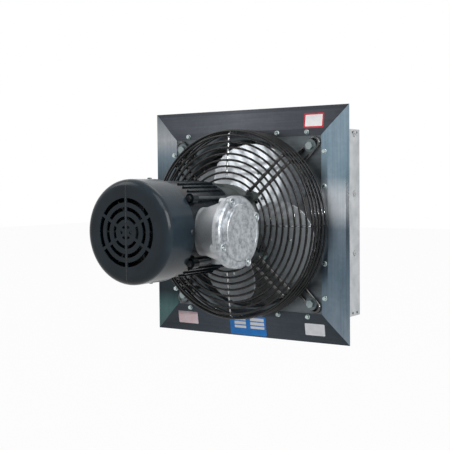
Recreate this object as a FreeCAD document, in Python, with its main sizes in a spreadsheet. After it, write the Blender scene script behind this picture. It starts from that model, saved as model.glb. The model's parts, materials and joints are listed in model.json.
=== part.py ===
"""Shutter exhaust fan: a square wall fan with a wire guard, an enclosed motor carried on four wire arms,
a four-blade propeller in a round throat and a gravity shutter with three louvers behind it.

Millimetres. +X is to the right of someone facing the motor, +Y goes through the wall, +Z is up.
The origin is the centre of the wall opening in the plane of the wall, so the motor is at negative Y.
"""
import FreeCAD, Part
import math
import os
from types import SimpleNamespace

import Sketcher
from FreeCAD import Placement, Rotation, Vector

SIZES = {
    # Flange strips round the wall opening
    "throat_margin": 5.5,
    "flange_width": 53.5,
    "strip_sheet": 1.2,
    "strip_seat": 12.5,
    "strip_rim": 7,
    "strip_rise": 5,
    "mitre_gap": 0.1,
    # Fan housing
    "housing_margin": 17.5,
    "housing_sheet": 1.2,
    "housing_rear": 64,
    "throat_radius": 157,
    "throat_rear": 26,
    "throat_bend": 6,
    # Clearances
    "screw_play": 0.1,
    "seat_gap": 0.1,
    # Shutter frame and louvers
    "frame_sheet": 1.6,
    "frame_play": 0.2,
    "frame_front": 48,
    "frame_rear": 120,
    "hinge_depth": 100,
    "hinge_inset": 6.7,
    "louver_overlap": 3,
    "louver_floor_gap": 2.2,
    "louver_sheet": 0.9,
    "louver_side_gap": 1.7,
    "louver_joggle": 1.5,
    "louver_lap": 12,
    "louver_lip": 6,
    "hinge_rod_radius": 2.5,
    "curl_play": 0.05,
    "bush_radius": 4,
    "bush_flange": 6,
    "bush_lip": 0.8,
    "bush_play": 0.06,
    "rod_proud": 0.8,
    "crank_reach": 32,
    "crank_sheet": 2,
    "crank_offset": 27,
    "crank_end": 6,
    "crank_neck": 3,
    "crank_tail": 24,
    "crank_tab": 14,
    "crank_tab_height": 12,
    "tie_bar_width": 10,
    "tie_bar_sheet": 2,
    "tie_pin_radius": 2.5,
    "tie_pin_play": 0.08,
    "tie_side_play": 0.3,
    "pin_cap_radius": 4,
    "pin_cap_sheet": 1,
    # Wire guard and motor arms
    "guard_margin": 18.5,
    "face_ring_inset": 9.8,
    "ring_pitch": 11.4,
    "ring_wire": 2,
    "radial_wire": 1.8,
    "radial_bend": 7,
    "radial_tail": 10,
    "side_ring_gap": 12.2,
    "base_ring_lift": 1,
    "rim_ring_inset": 1.5,
    "rim_ring_lift": 0.5,
    "arm_wire": 3.2,
    "arm_spread": 17.5,
    "arm_inner": 56,
    "arm_kink": 84,
    "arm_kink_bend": 40,
    "arm_face": 70.6,
    "arm_rim": 60.4,
    "arm_bend": 6,
    "arm_corner_gap": 9.8,
    "loop_flat": 0.1,
    "foot_bolt_inset": 17,
    "foot_bolt_radius": 4,
    "foot_washer_radius": 12,
    "foot_washer_sheet": 2,
    "hex_head": 7.4,
    "hex_crown": 5.3,
    # Motor
    "motor_bolt_reach": 66,
    "motor_bolt_radius": 4,
    "motor_bolt_depth": 11,
    "clamp_width": 32,
    "clamp_height": 22,
    "clamp_sheet": 3,
    "shaft_play": 1,
    "bell_face_radius": 76,
    "bell_land": 8.2,
    "bell_neck": 14.3,
    "bell_waist": 70,
    "bell_taper": 1,
    "bell_wall": 5,
    "bell_step": 1,
    "bell_flange_length": 7.7,
    "bell_length": 84,
    "bell_web": 11,
    "bell_rib": 5,
    "rib_sink": 1,
    "rib_front_inset": 0.5,
    "rib_rear_inset": 2,
    "rib_rear": 6.6,
    "frame_radius": 82,
    "frame_wall": 8,
    "frame_length": 108,
    "fin_height": 2.5,
    "fin_width": 3,
    "fin_sink": 1,
    "fin_inset": 5.5,
    "rear_bell_length": 22,
    "rear_web": 4.4,
    "rear_boss": 4,
    "rear_hub_set": 2,
    "cowl_over": 3.7,
    "cowl_sheet": 2,
    "cowl_length": 70,
    "cowl_shoulder": 14,
    "cowl_gap": 1,
    "spigot_length": 18,
    "spigot_play": 0.05,
    "slot_outer": 55.5,
    "slot_pitch": 14.7,
    "slot_width": 7.3,
    "slot_narrowing": 1,
    "spoke_width": 5,
    "tie_bolt_out": 5.8,
    "tie_bolt_angle": 37.13,
    "tie_bolt_radius": 3,
    "tie_bolt_head": 5.5,
    "lug_radius": 8.5,
    "lug_web": 13.6,
    "lug_sink": 2.5,
    "front_lug_length": 18,
    "rear_lug_length": 14.4,
    "rear_lug_set": 1,
    "overshoot": 1,
    # Rotor
    "shaft_radius": 7.9,
    "shaft_front": 10,
    "front_journal": 8.5,
    "rotor_seat": 10.5,
    "rear_journal": 8.5,
    "fan_seat": 7,
    "shaft_end_gap": 0.1,
    "journal_shoulder": 0.3,
    "journal_collar": 2,
    "rotor_seat_end": 1,
    "fan_seat_start": 12.6,
    "bearing_play": 0.2,
    "bearing_width": 14,
    "bearing_radius": 23.5,
    "rear_bearing_radius": 20,
    "bearing_seat_wall": 5,
    "inner_ring_wall": 4.5,
    "core_share": 0.6081,
    "core_length": 70,
    "air_gap": 0.4,
    "winding_length": 14,
    "winding_inside": 4,
    "winding_outside": 6,
    "cooling_fan_gap": 4,
    "cooling_fan_radius": 70,
    "cooling_fan_length": 34,
    "cooling_fan_blade": 2.5,
    "fan_hub_root": 16.8,
    "fan_hub_radius": 14,
    "fan_hub_length": 27.2,
    "paddle_root": 10.5,
    "paddle_root_length": 23.8,
    "paddle_inset": 1,
    "paddle_peak": 56,
    # Propeller
    "tip_gap": 5,
    "propeller_centre": -6,
    "pitch_run": 40,
    "blade_sheet": 2,
    "blade_root": 30,
    "blade_trim": 2,
    "blade_half_width": 80,
    "blade_camber": 5,
    "first_blade_angle": 68,
    "spider_sheet": 3.5,
    "spider_reach": 78,
    "spider_width": 30,
    "spider_half_depth": 19,
    "spider_root": 14,
    "hub_radius": 20,
    "hub_nose_radius": 16,
    "hub_length": 42,
    "hub_straight": 25.2,
    "hub_behind": 12.6,
    # Conduit box
    "box_set": 20.9,
    "box_drop": 2,
    "box_base_radius": 40,
    "box_mouth_radius": 54,
    "box_rim_radius": 59,
    "box_rim_sheet": 6,
    "box_rim_chamfer": 1,
    "box_wall": 5,
    "box_floor_wall": 8,
    "box_depth": 45,
    "box_foot": 22,
    "cover_depth": 8,
    "cover_bevel": 3,
    "cover_bevel_drop": 2,
    "cover_land": 11,
    "cover_crown": 4,
    "cover_crown_slope": 2,
    "cover_lug_radius": 7,
    "cover_lug_inset": 5,
    "box_lug_length": 12,
    "entry_radius": 11.7,
    "entry_boss": 16,
    "entry_face": 52,
    "entry_offset": 16,
}

doc = FreeCAD.newDocument("shutter_exhaust_fan")
sheet = doc.addObject("Spreadsheet::Sheet", "sizes")
for row, (alias, number) in enumerate(SIZES.items(), start=1):
    sheet.set(f"A{row}", alias)
    sheet.set(f"B{row}", str(number))
    sheet.setAlias(f"B{row}", alias)
doc.recompute()


class Size:
    """A length that carries its number and the sheet formula that gives it."""

    def __init__(self, number, text):
        self.number = float(number)
        self.text = text

    def __float__(self):
        return self.number

    def __neg__(self):
        return Size(-self.number, f"(0 - {self.text})")

    def __add__(self, other):
        other = as_size(other)
        return Size(self.number + other.number, f"({self.text} + {other.text})")

    def __sub__(self, other):
        return self + -as_size(other)

    def __mul__(self, other):
        other = as_size(other)
        return Size(self.number * other.number, f"({self.text} * {other.text})")

    def __truediv__(self, other):
        other = as_size(other)
        return Size(self.number / other.number, f"({self.text} / {other.text})")

    def __radd__(self, other):
        return as_size(other) + self

    def __rsub__(self, other):
        return as_size(other) - self

    def __rmul__(self, other):
        return as_size(other) * self


def as_size(length):
    """The length itself, or a plain number wrapped so that it can enter a formula."""
    if isinstance(length, Size):
        return length
    return Size(length, f"({length})")


d = SimpleNamespace(**{alias: Size(getattr(sheet, alias), f"sizes.{alias}") for alias in SIZES})

TURN_TO_AXIS = {
    "X": Rotation(Vector(0, 1, 0), 90),
    "-X": Rotation(Vector(0, 1, 0), -90),
    "Y": Rotation(Vector(1, 0, 0), -90),
    "-Y": Rotation(Vector(1, 0, 0), 90),
    "Z": Rotation(),
    "-Z": Rotation(Vector(1, 0, 0), 180),
}
AXLE = Vector(0, 1, 0)
LUG_ANGLES = (25, 115, 205, 295)
FIN_ANGLES = (52, 60, 68, 112, 120, 128, 232, 240, 248, 292, 300, 308)
SPOKE_ANGLES = (30, 90, 150, 210, 270, 330)
SLOT_RINGS = 4
LOUVERS = 3
MIDDLE_RINGS = slice(3, 5)
QUADRANTS = ((1, 1), (-1, 1), (-1, -1), (1, -1))
DIAGONAL = 0.70711
SAME_EDGE = 0.001
nodes = []


def keep(node, label):
    """Give a finished piece its label and put it on the list of pieces to write."""
    node.Label = label
    nodes.append(node)
    return node


def bind(part, **lengths):
    """Tie properties of a part to the sheet."""
    for name, length in lengths.items():
        part.setExpression(name, as_size(length).text)


def locate(part, at, turn=None):
    """Turn a part, then tie its position to the sheet."""
    part.Placement = Placement(Vector(*[float(as_size(length)) for length in at]), turn or Rotation())
    for axis, length in zip("xyz", at):
        part.setExpression(f"Placement.Base.{axis}", as_size(length).text)
    return part


def cylinder(name, radius, length, at, along):
    part = doc.addObject("Part::Cylinder", name)
    bind(part, Radius=radius, Height=length)
    return locate(part, at, TURN_TO_AXIS[along])


def hexagon(name, radius, length, at, along):
    part = doc.addObject("Part::Prism", name)
    part.Polygon = 6
    bind(part, Circumradius=radius, Height=length)
    return locate(part, at, TURN_TO_AXIS[along])


def box(name, lengths, at):
    part = doc.addObject("Part::Box", name)
    bind(part, Length=lengths[0], Width=lengths[1], Height=lengths[2])
    return locate(part, at)


def spoke(name, angle, inner, outer, front, rear, width):
    """Bar that points away from the motor axis, between two radii and two distances from the wall."""
    part = doc.addObject("Part::Box", name)
    bind(part, Length=outer - inner, Width=rear - front, Height=width)
    turn = Rotation(AXLE, -angle)
    corner = Vector(float(inner), -float(rear), -float(width) / 2)
    part.Placement = Placement(turn.multVec(corner), turn)
    return part


def fuse(name, parts):
    part = doc.addObject("Part::MultiFuse", name)
    part.Shapes = parts
    return part


def group(name, parts):
    part = doc.addObject("Part::Compound", name)
    part.Links = parts
    return part


def cut(name, base, tools):
    part = doc.addObject("Part::Cut", name)
    part.Base = base
    part.Tool = tools[0] if len(tools) == 1 else group(f"{name}_tools", tools)
    return part


def round_the_axle(angle):
    """Placement that turns a piece from +X towards +Z about the motor axis."""
    return Placement(Vector(), Rotation(AXLE, -angle))


def copies(name, pattern, placements):
    """One piece made of separate solids, each a placed copy of the pattern."""
    doc.recompute()
    part = doc.addObject("Part::Feature", name)
    solids = []
    for placement in placements:
        solid = pattern.Shape.copy()
        solid.Placement = placement.multiply(solid.Placement)
        solids.append(solid)
    part.Shape = Part.makeCompound(solids)
    return part


def new_sketch(body, name, plane, forward=0):
    sketch = body.newObject("Sketcher::SketchObject", name)
    support = next(item for item in body.Origin.OriginFeatures if item.Role == plane)
    sketch.AttachmentSupport = [(support, "")]
    sketch.MapMode = "FlatFace"
    if forward:
        sketch.setExpression("AttachmentOffset.Base.z", as_size(forward).text)
    return sketch


def polygon(body, name, plane, points, forward=0):
    """Closed sketch of straight lines with every corner tied to the sheet."""
    sketch = new_sketch(body, name, plane, forward)
    corners = [Vector(float(as_size(across)), float(as_size(up)), 0) for across, up in points]
    for corner, following in zip(corners, corners[1:] + corners[:1]):
        sketch.addGeometry(Part.LineSegment(corner, following))
    for line, (across, up) in enumerate(points):
        sketch.addConstraint(Sketcher.Constraint("Coincident", line, 2, (line + 1) % len(points), 1))
        for kind, length in (("DistanceX", across), ("DistanceY", up)):
            number = float(as_size(length))
            datum = sketch.addConstraint(Sketcher.Constraint(kind, -1, 1, line, 1, number))
            sketch.setExpression(f"Constraints[{datum}]", as_size(length).text)
    return sketch


def circles(body, name, plane, rounds, forward=0):
    """Sketch of circles, each given as across, up and radius."""
    sketch = new_sketch(body, name, plane, forward)
    for index, (across, up, radius) in enumerate(rounds):
        centre = Vector(float(as_size(across)), float(as_size(up)), 0)
        sketch.addGeometry(Part.Circle(centre, Vector(0, 0, 1), float(radius)))
        for kind, length in (("DistanceX", across), ("DistanceY", up)):
            number = float(as_size(length))
            datum = sketch.addConstraint(Sketcher.Constraint(kind, -1, 1, index, 3, number))
            sketch.setExpression(f"Constraints[{datum}]", as_size(length).text)
        datum = sketch.addConstraint(Sketcher.Constraint("Radius", index, float(radius)))
        sketch.setExpression(f"Constraints[{datum}]", radius.text)
    return sketch


def pad(body, name, sketch, length, both_ways=False, reverse=False):
    feature = body.newObject("PartDesign::Pad", name)
    feature.Profile = sketch
    feature.Midplane = both_ways
    feature.Reversed = reverse
    bind(feature, Length=length)
    return feature


def drill(body, name, sketch):
    """Cut a sketch right through the body on both sides of its plane."""
    feature = body.newObject("PartDesign::Pocket", name)
    feature.Profile = sketch
    feature.Type = "ThroughAll"
    feature.Midplane = True
    return feature


def turned(name, points):
    """Body turned about its own Y axis from a section given as radius and height."""
    body = doc.addObject("PartDesign::Body", name)
    section = polygon(body, f"{name}_section", "XY_Plane", points)
    feature = body.newObject("PartDesign::Revolution", f"{name}_turn")
    feature.Profile = section
    feature.ReferenceAxis = (section, ["V_Axis"])
    feature.Angle = 360
    return body


def ring(name, radius, wire, height, vertex_along_axle):
    """Hoop of six-sided wire about the motor axis."""
    section = doc.addObject("Part::RegularPolygon", f"{name}_section")
    section.Polygon = 6
    bind(section, Circumradius=wire)
    turn = Rotation(Vector(0, 0, 1), 30 if vertex_along_axle else 0)
    locate(section, (radius, height, 0), turn)
    hoop = doc.addObject("Part::Revolution", name)
    hoop.Source = section
    hoop.Axis = AXLE
    hoop.Angle = 360
    hoop.Solid = True
    return hoop


def round_edges(body, name, circle, bend):
    """Round the circular edge of the tip that has the given radius and height."""
    radius, height = [float(length) for length in circle]
    doc.recompute()
    base = body.Tip
    edges = []
    for number, edge in enumerate(base.Shape.Edges, start=1):
        curve = edge.Curve
        if not isinstance(curve, Part.Circle):
            continue
        if max(abs(curve.Radius - radius), abs(curve.Center.y - height)) < SAME_EDGE:
            edges.append(f"Edge{number}")
    feature = body.newObject("PartDesign::Fillet", name)
    feature.Base = (base, edges)
    bind(feature, Radius=bend)
    return feature


def bent_wire(corners, bends, wire):
    """Six-sided wire swept along a path of straight runs joined by bends."""
    edges = []
    start = corners[0]
    for before, corner, after, bend in zip(corners, corners[1:], corners[2:], bends):
        back = (before - corner).normalize()
        ahead = (after - corner).normalize()
        half_angle = back.getAngle(ahead) / 2
        run = bend / math.tan(half_angle)
        inward = (back + ahead).normalize()
        middle = corner + inward * (bend / math.sin(half_angle) - bend)
        edges.append(Part.makeLine(start, corner + back * run))
        edges.append(Part.Arc(corner + back * run, middle, corner + ahead * run).toShape())
        start = corner + ahead * run
    edges.append(Part.makeLine(start, corners[-1]))
    heading = (corners[1] - corners[0]).normalize()
    side = heading.cross(Vector(0, 0, 1))
    vertices = []
    for step in range(6):
        vertices.append(corners[0] + Rotation(heading, 60 * step).multVec(side) * wire)
    section = Part.makePolygon(vertices + vertices[:1])
    return Part.Wire(edges).makePipeShell([section], True, False)


# Flange strips

plate_front = -d.strip_rise
half_clear = d.throat_radius + d.throat_margin
half_panel = half_clear + d.flange_width
seat_edge = half_clear + d.strip_seat
rim_edge = half_panel - d.strip_rim

SIDES = {"top": 0, "right": 90, "bottom": 180, "left": 270}
for side, angle in SIDES.items():
    strip = doc.addObject("PartDesign::Body", f"strip_{side}")
    section = polygon(strip, f"strip_{side}_section", "YZ_Plane", [
        (plate_front, half_clear),
        (plate_front, seat_edge),
        (0, rim_edge),
        (0, half_panel),
        (-d.strip_sheet, half_panel),
        (-d.strip_sheet, rim_edge),
        (plate_front - d.strip_sheet, seat_edge),
        (plate_front - d.strip_sheet, half_clear),
    ])
    pad(strip, f"strip_{side}_rolled", section, half_panel * 2, both_ways=True)
    for name, sign in (("near", 1), ("far", -1)):
        corner = polygon(strip, f"strip_{side}_{name}_mitre", "XZ_Plane", [
            (sign * (half_clear - d.strip_rim - d.mitre_gap), half_clear - d.strip_rim),
            (sign * (half_panel + d.strip_rim - d.mitre_gap), half_panel + d.strip_rim),
            (sign * (half_panel + d.strip_rim - d.mitre_gap), half_clear - d.strip_rim),
        ])
        drill(strip, f"strip_{side}_{name}_cut", corner)
    strip.Placement = Placement(Vector(), Rotation(AXLE, angle))
    keep(strip, f"flange_{side}")

# Fan housing

half_housing = d.throat_radius + d.housing_margin
half_inside = half_housing - d.housing_sheet
plate_back = plate_front + d.housing_sheet
arm_reach = half_clear / DIAGONAL - d.arm_corner_gap
foot_bolt_reach = arm_reach - d.foot_bolt_inset
foot = foot_bolt_reach * DIAGONAL


def square(body, name, half, forward):
    corners = [(-half, -half), (half, -half), (half, half), (-half, half)]
    return polygon(body, name, "XZ_Plane", corners, forward)


housing = doc.addObject("PartDesign::Body", "housing")
outside = square(housing, "housing_outside", half_housing, d.strip_rise)
pad(housing, "housing_block", outside, d.strip_rise + d.housing_rear, reverse=True)
inside = square(housing, "housing_inside", half_inside, d.strip_rise - d.housing_sheet)
hollow = housing.newObject("PartDesign::Pocket", "housing_hollow")
hollow.Profile = inside
hollow.Type = "ThroughAll"
throat_hole = circles(housing, "throat_hole", "XZ_Plane", [(0, 0, d.throat_radius)])
drill(housing, "throat_opening", throat_hole)
throat_wall = polygon(housing, "throat_wall", "XY_Plane", [
    (d.throat_radius, plate_front),
    (d.throat_radius, d.throat_rear),
    (d.throat_radius + d.housing_sheet, d.throat_rear),
    (d.throat_radius + d.housing_sheet, plate_front),
])
throat = housing.newObject("PartDesign::Revolution", "throat")
throat.Profile = throat_wall
throat.ReferenceAxis = (throat_wall, ["V_Axis"])
throat.Angle = 360
round_edges(housing, "throat_back_bend", (d.throat_radius + d.housing_sheet, plate_back),
            d.throat_bend - d.housing_sheet)
round_edges(housing, "throat_front_bend", (d.throat_radius, plate_front), d.throat_bend)
foot_bore = d.foot_bolt_radius + d.screw_play
plate_rounds = [(across * foot, up * foot, foot_bore) for across, up in QUADRANTS]
drill(housing, "plate_holes", circles(housing, "plate_hole_plan", "XZ_Plane", plate_rounds))
keep(housing, "fan_housing")

# Shutter frame and its bushes

frame_inside = half_housing + d.frame_play
frame_outside = frame_inside + d.frame_sheet
hinge_top = frame_inside - d.hinge_inset
hang = hinge_top + frame_inside - d.louver_floor_gap
louver_pitch = (hang - d.louver_overlap) / LOUVERS
louver_drop = louver_pitch + d.louver_overlap
hinge_heights = [hinge_top - louver_pitch * index for index in range(LOUVERS)]

shutter = doc.addObject("PartDesign::Body", "shutter")
pad(shutter, "shutter_block", square(shutter, "shutter_outside", frame_outside, -d.frame_front),
    d.frame_rear - d.frame_front, reverse=True)
drill(shutter, "shutter_opening", square(shutter, "shutter_inside", frame_inside, -d.frame_front))
bush_rounds = [(d.hinge_depth, height, d.bush_radius + d.seat_gap) for height in hinge_heights]
drill(shutter, "bush_holes", circles(shutter, "bush_hole_plan", "YZ_Plane", bush_rounds))
keep(shutter, "shutter_frame")

bush_bore = d.hinge_rod_radius + d.bush_play
bush = turned("bush", [
    (bush_bore, frame_inside - d.bush_lip - d.seat_gap),
    (d.bush_flange, frame_inside - d.bush_lip - d.seat_gap),
    (d.bush_flange, frame_inside - d.seat_gap),
    (d.bush_radius, frame_inside - d.seat_gap),
    (d.bush_radius, frame_outside + d.seat_gap),
    (d.bush_flange, frame_outside + d.seat_gap),
    (d.bush_flange, frame_outside + d.bush_lip + d.seat_gap),
    (bush_bore, frame_outside + d.bush_lip + d.seat_gap),
])
bush_places = []
for height in hinge_heights:
    for quarter in (-90, 90):
        centre = Vector(0, float(d.hinge_depth), float(height))
        bush_places.append(Placement(centre, Rotation(Vector(0, 0, 1), quarter)))
keep(copies("bush_set", bush, bush_places), "pivot_bushes")

# Louvers with their hinge rods, cranks and tie bar

curl_inside = d.hinge_rod_radius + d.curl_play
curl_outside = curl_inside + d.louver_sheet
lap_inside = curl_inside + d.louver_joggle
lap_outside = curl_outside + d.louver_joggle
lap_top = louver_drop - d.louver_lap
lip_top = louver_drop - d.louver_lip
lip_throw = d.louver_lip / 2
louver_length = (frame_inside - d.louver_side_gap) * 2
crank_inside = curl_inside - d.seat_gap
tie_inner = d.crank_offset + d.crank_sheet + d.tie_side_play
pin_bore = d.tie_pin_radius + d.tie_pin_play

for index, height in enumerate(hinge_heights, start=1):
    hinge = (0, d.hinge_depth, height)
    louver = doc.addObject("PartDesign::Body", f"louver_body_{index}")
    curl = circles(louver, f"curl_{index}", "YZ_Plane", [(0, 0, curl_inside), (0, 0, curl_outside)])
    pad(louver, f"louver_curl_{index}", curl, louver_length, both_ways=True)
    leaf = polygon(louver, f"leaf_{index}", "YZ_Plane", [
        (curl_inside, 0),
        (curl_outside, 0),
        (curl_outside, -(lap_top - d.louver_lip)),
        (lap_outside, -lap_top),
        (lap_outside, -lip_top),
        (lap_outside + lip_throw, -louver_drop),
        (lap_inside + lip_throw, -louver_drop),
        (lap_inside, -lip_top),
        (lap_inside, -lap_top),
        (curl_inside, -(lap_top - d.louver_lip)),
    ])
    pad(louver, f"louver_leaf_{index}", leaf, louver_length, both_ways=True)
    locate(louver, hinge)
    keep(louver, f"louver_{index}")

    rod_half = frame_outside + d.bush_lip + d.rod_proud
    rod_end = (-rod_half, d.hinge_depth, height)
    rod = cylinder(f"rod_{index}", d.hinge_rod_radius, rod_half * 2, rod_end, "X")
    keep(rod, f"hinge_rod_{index}")

    crank = doc.addObject("PartDesign::Body", f"crank_body_{index}")
    plate = polygon(crank, f"crank_plate_{index}", "YZ_Plane", [
        (-d.crank_reach, d.crank_end),
        (-d.crank_end, d.crank_neck),
        (-d.crank_end, -d.crank_end),
        (crank_inside, -d.crank_end),
        (crank_inside, -d.crank_tail),
        (-d.crank_reach, -d.crank_end),
    ], -d.crank_offset)
    pad(crank, f"crank_arm_{index}", plate, d.crank_sheet, reverse=True)
    eye_round = [(-d.crank_reach, 0, d.crank_end)]
    eye = circles(crank, f"crank_eye_plan_{index}", "YZ_Plane", eye_round, -d.crank_offset)
    pad(crank, f"crank_eye_{index}", eye, d.crank_sheet, reverse=True)
    tab = polygon(crank, f"crank_tab_plan_{index}", "YZ_Plane", [
        (crank_inside - d.crank_sheet, d.crank_tab_height - d.crank_tail),
        (crank_inside, d.crank_tab_height - d.crank_tail),
        (crank_inside, -d.crank_tail),
        (crank_inside - d.crank_sheet, -d.crank_tail),
    ], -d.crank_offset)
    pad(crank, f"crank_tab_{index}", tab, d.crank_tab)
    pin_round = [(-d.crank_reach, 0, d.tie_pin_radius)]
    pin = circles(crank, f"crank_pin_plan_{index}", "YZ_Plane", pin_round, -d.crank_offset)
    pin_length = d.crank_sheet + d.tie_bar_sheet + d.tie_side_play * 2
    pad(crank, f"crank_pin_{index}", pin, pin_length, reverse=True)
    cap_round = [(-d.crank_reach, 0, d.pin_cap_radius)]
    cap = circles(crank, f"crank_cap_plan_{index}", "YZ_Plane", cap_round, -(d.crank_offset + pin_length))
    pad(crank, f"crank_cap_{index}", cap, d.pin_cap_sheet, reverse=True)
    locate(crank, hinge)
    keep(crank, f"crank_{index}")

tie_bar = doc.addObject("PartDesign::Body", "tie_bar_body")
tie_depth = d.hinge_depth - d.crank_reach
half_tie = d.tie_bar_width / 2
strap = polygon(tie_bar, "tie_strap", "YZ_Plane", [
    (tie_depth - half_tie, hinge_heights[0]),
    (tie_depth + half_tie, hinge_heights[0]),
    (tie_depth + half_tie, hinge_heights[-1]),
    (tie_depth - half_tie, hinge_heights[-1]),
], -tie_inner)
pad(tie_bar, "tie_bar_strap", strap, d.tie_bar_sheet, reverse=True)
for name, height in (("top", hinge_heights[0]), ("bottom", hinge_heights[-1])):
    end_round = [(tie_depth, height, half_tie)]
    tie_end = circles(tie_bar, f"tie_end_{name}", "YZ_Plane", end_round, -tie_inner)
    pad(tie_bar, f"tie_bar_end_{name}", tie_end, d.tie_bar_sheet, reverse=True)
hole_rounds = [(tie_depth, height, pin_bore) for height in hinge_heights]
drill(tie_bar, "tie_bar_holes", circles(tie_bar, "tie_holes", "YZ_Plane", hole_rounds))
keep(tie_bar, "tie_bar")

# Wire guard and motor arms

guard_radius = d.throat_radius + d.guard_margin
hoop_sag = d.arm_spread * d.arm_spread / (guard_radius * 8)
arm_side = guard_radius - hoop_sag - d.ring_wire - d.arm_wire - d.seat_gap
arm_slope = (d.arm_face - d.arm_rim) / (arm_side - d.arm_kink)
arm_foot = d.strip_rise + d.arm_wire + d.seat_gap


def face_height(radius):
    """Distance of the arm wires from the wall where they cross the guard face at a radius."""
    return d.arm_face - (radius - d.arm_kink) * arm_slope


front_rings = []
ring_radius = guard_radius - d.face_ring_inset
while ring_radius.number > d.arm_kink.number:
    ring_height = face_height(ring_radius) + d.arm_wire + d.ring_wire + d.seat_gap
    name = f"front_ring_{len(front_rings)}"
    front_rings.append(ring(name, ring_radius, d.ring_wire, -ring_height, True))
    inner_ring_radius = ring_radius
    ring_radius = ring_radius - d.ring_pitch
middle_rings = front_rings[MIDDLE_RINGS]
other_rings = [hoop for hoop in front_rings if hoop not in middle_rings]
keep(group("front_ring_set", other_rings), "guard_front_rings")
for index, hoop in enumerate(middle_rings, start=1):
    keep(hoop, f"guard_middle_ring_{index}")

base_ring = arm_foot + d.arm_bend + d.base_ring_lift
rim_ring_radius = guard_radius - d.rim_ring_inset
side_rings = [ring("rim_ring", rim_ring_radius, d.ring_wire, -(d.arm_rim + d.rim_ring_lift), True)]
for index in range(4):
    height = base_ring + d.side_ring_gap * index
    side_rings.append(ring(f"side_ring_{index}", guard_radius, d.ring_wire, -height, False))
keep(group("side_ring_set", side_rings), "guard_side_rings")

radial_lift = d.arm_wire - d.radial_wire
radial_side = guard_radius - d.ring_wire - d.radial_wire - d.seat_gap
radial_corners = []
for radius, height in (
    (inner_ring_radius - d.ring_wire, face_height(inner_ring_radius - d.ring_wire) + radial_lift),
    (radial_side, face_height(radial_side) + radial_lift),
    (radial_side, d.radial_tail),
):
    radial_corners.append(Vector(float(radius), -float(height), 0))
radial = doc.addObject("Part::Feature", "radial_wire_pattern")
radial.Shape = bent_wire(radial_corners, [float(d.radial_bend)], float(d.radial_wire))
quarters = [round_the_axle(angle) for angle in (0, 90, 180, 270)]
keep(copies("radial_wire_set", radial, quarters), "guard_radials")

half_spread = float(d.arm_spread) / 2
arm_run = [
    (d.arm_inner, d.arm_face),
    (d.arm_kink, d.arm_face),
    (arm_side, d.arm_rim),
    (arm_side, arm_foot),
    (arm_reach, arm_foot),
]
out_run = [Vector(float(radius), -float(height), half_spread) for radius, height in arm_run]
back_run = [Vector(corner.x, corner.y, -half_spread) for corner in reversed(out_run)]
loop_bend = half_spread - float(d.loop_flat) / 2
out_bends = [float(d.arm_kink_bend), float(d.arm_bend), float(d.arm_bend), loop_bend]
arm_shape = bent_wire(out_run + back_run, out_bends + out_bends[::-1], float(d.arm_wire))
diagonals = [round_the_axle(angle) for angle in (45, 135, 225, 315)]
for index, diagonal in enumerate(diagonals, start=1):
    arm = doc.addObject("Part::Feature", f"arm_loop_{index}")
    arm.Shape = arm_shape
    arm.Placement = diagonal
    keep(arm, f"motor_arm_{index}")

# Bolts that hold the arms to the housing and to the motor

washer_front = arm_foot + d.arm_wire + d.seat_gap
washer = turned("foot_washer", [
    (foot_bore, -washer_front),
    (d.foot_washer_radius, -washer_front),
    (d.foot_washer_radius, -(washer_front + d.foot_washer_sheet)),
    (foot_bore, -(washer_front + d.foot_washer_sheet)),
])
head_seat = washer_front + d.foot_washer_sheet + d.seat_gap
foot_bolt = fuse("foot_bolt", [
    hexagon("foot_bolt_head", d.hex_head, d.hex_crown, (0, -head_seat, 0), "-Y"),
    cylinder("foot_bolt_shank", d.foot_bolt_radius, head_seat + d.hex_crown,
             (0, -head_seat - d.seat_gap, 0), "Y"),
])
nut_body = hexagon("foot_nut_body", d.hex_head, d.hex_crown, (0, plate_back + d.seat_gap, 0), "Y")
nut_bore = cylinder("foot_nut_bore", foot_bore, d.hex_crown * 3, (0, plate_front, 0), "Y")
foot_nut = cut("foot_nut", nut_body, [nut_bore])


def on_diagonals(reach):
    """Placements at one distance from the motor axis on the four diagonals."""
    return [place * Placement(Vector(float(reach), 0, 0), Rotation()) for place in diagonals]


foot_places = on_diagonals(foot_bolt_reach)
keep(copies("foot_washer_set", washer, foot_places), "foot_washers")
keep(copies("foot_bolt_set", foot_bolt, foot_places), "foot_bolts")
keep(copies("foot_nut_set", foot_nut, foot_places), "foot_nuts")

clamp_seat = d.arm_face - d.arm_wire - d.seat_gap
clamp_front = clamp_seat - d.clamp_sheet
bell_face = d.arm_face + d.arm_wire + d.seat_gap
bolt_bore = d.motor_bolt_radius + d.screw_play
clamp_plate = box(
    "motor_clamp_plate",
    (d.clamp_height, d.clamp_sheet, d.clamp_width),
    (-d.clamp_height / 2, -clamp_seat, -d.clamp_width / 2),
)
clamp_bore = cylinder("motor_clamp_bore", bolt_bore, d.clamp_sheet * 3,
                      (0, -clamp_seat - d.clamp_sheet, 0), "Y")
clamp = cut("motor_clamp", clamp_plate, [clamp_bore])
bolt_seat = -clamp_front + d.seat_gap
motor_bolt = fuse("motor_bolt", [
    hexagon("motor_bolt_head", d.hex_head, d.hex_crown, (0, bolt_seat, 0), "Y"),
    cylinder("motor_bolt_shank", d.motor_bolt_radius, bell_face + d.motor_bolt_depth + bolt_seat,
             (0, bolt_seat + d.seat_gap, 0), "-Y"),
])
bolt_places = on_diagonals(d.motor_bolt_reach)
keep(copies("motor_clamp_set", clamp, bolt_places), "motor_clamps")
keep(copies("motor_bolt_set", motor_bolt, bolt_places), "motor_bolts")

# Motor housing

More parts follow.
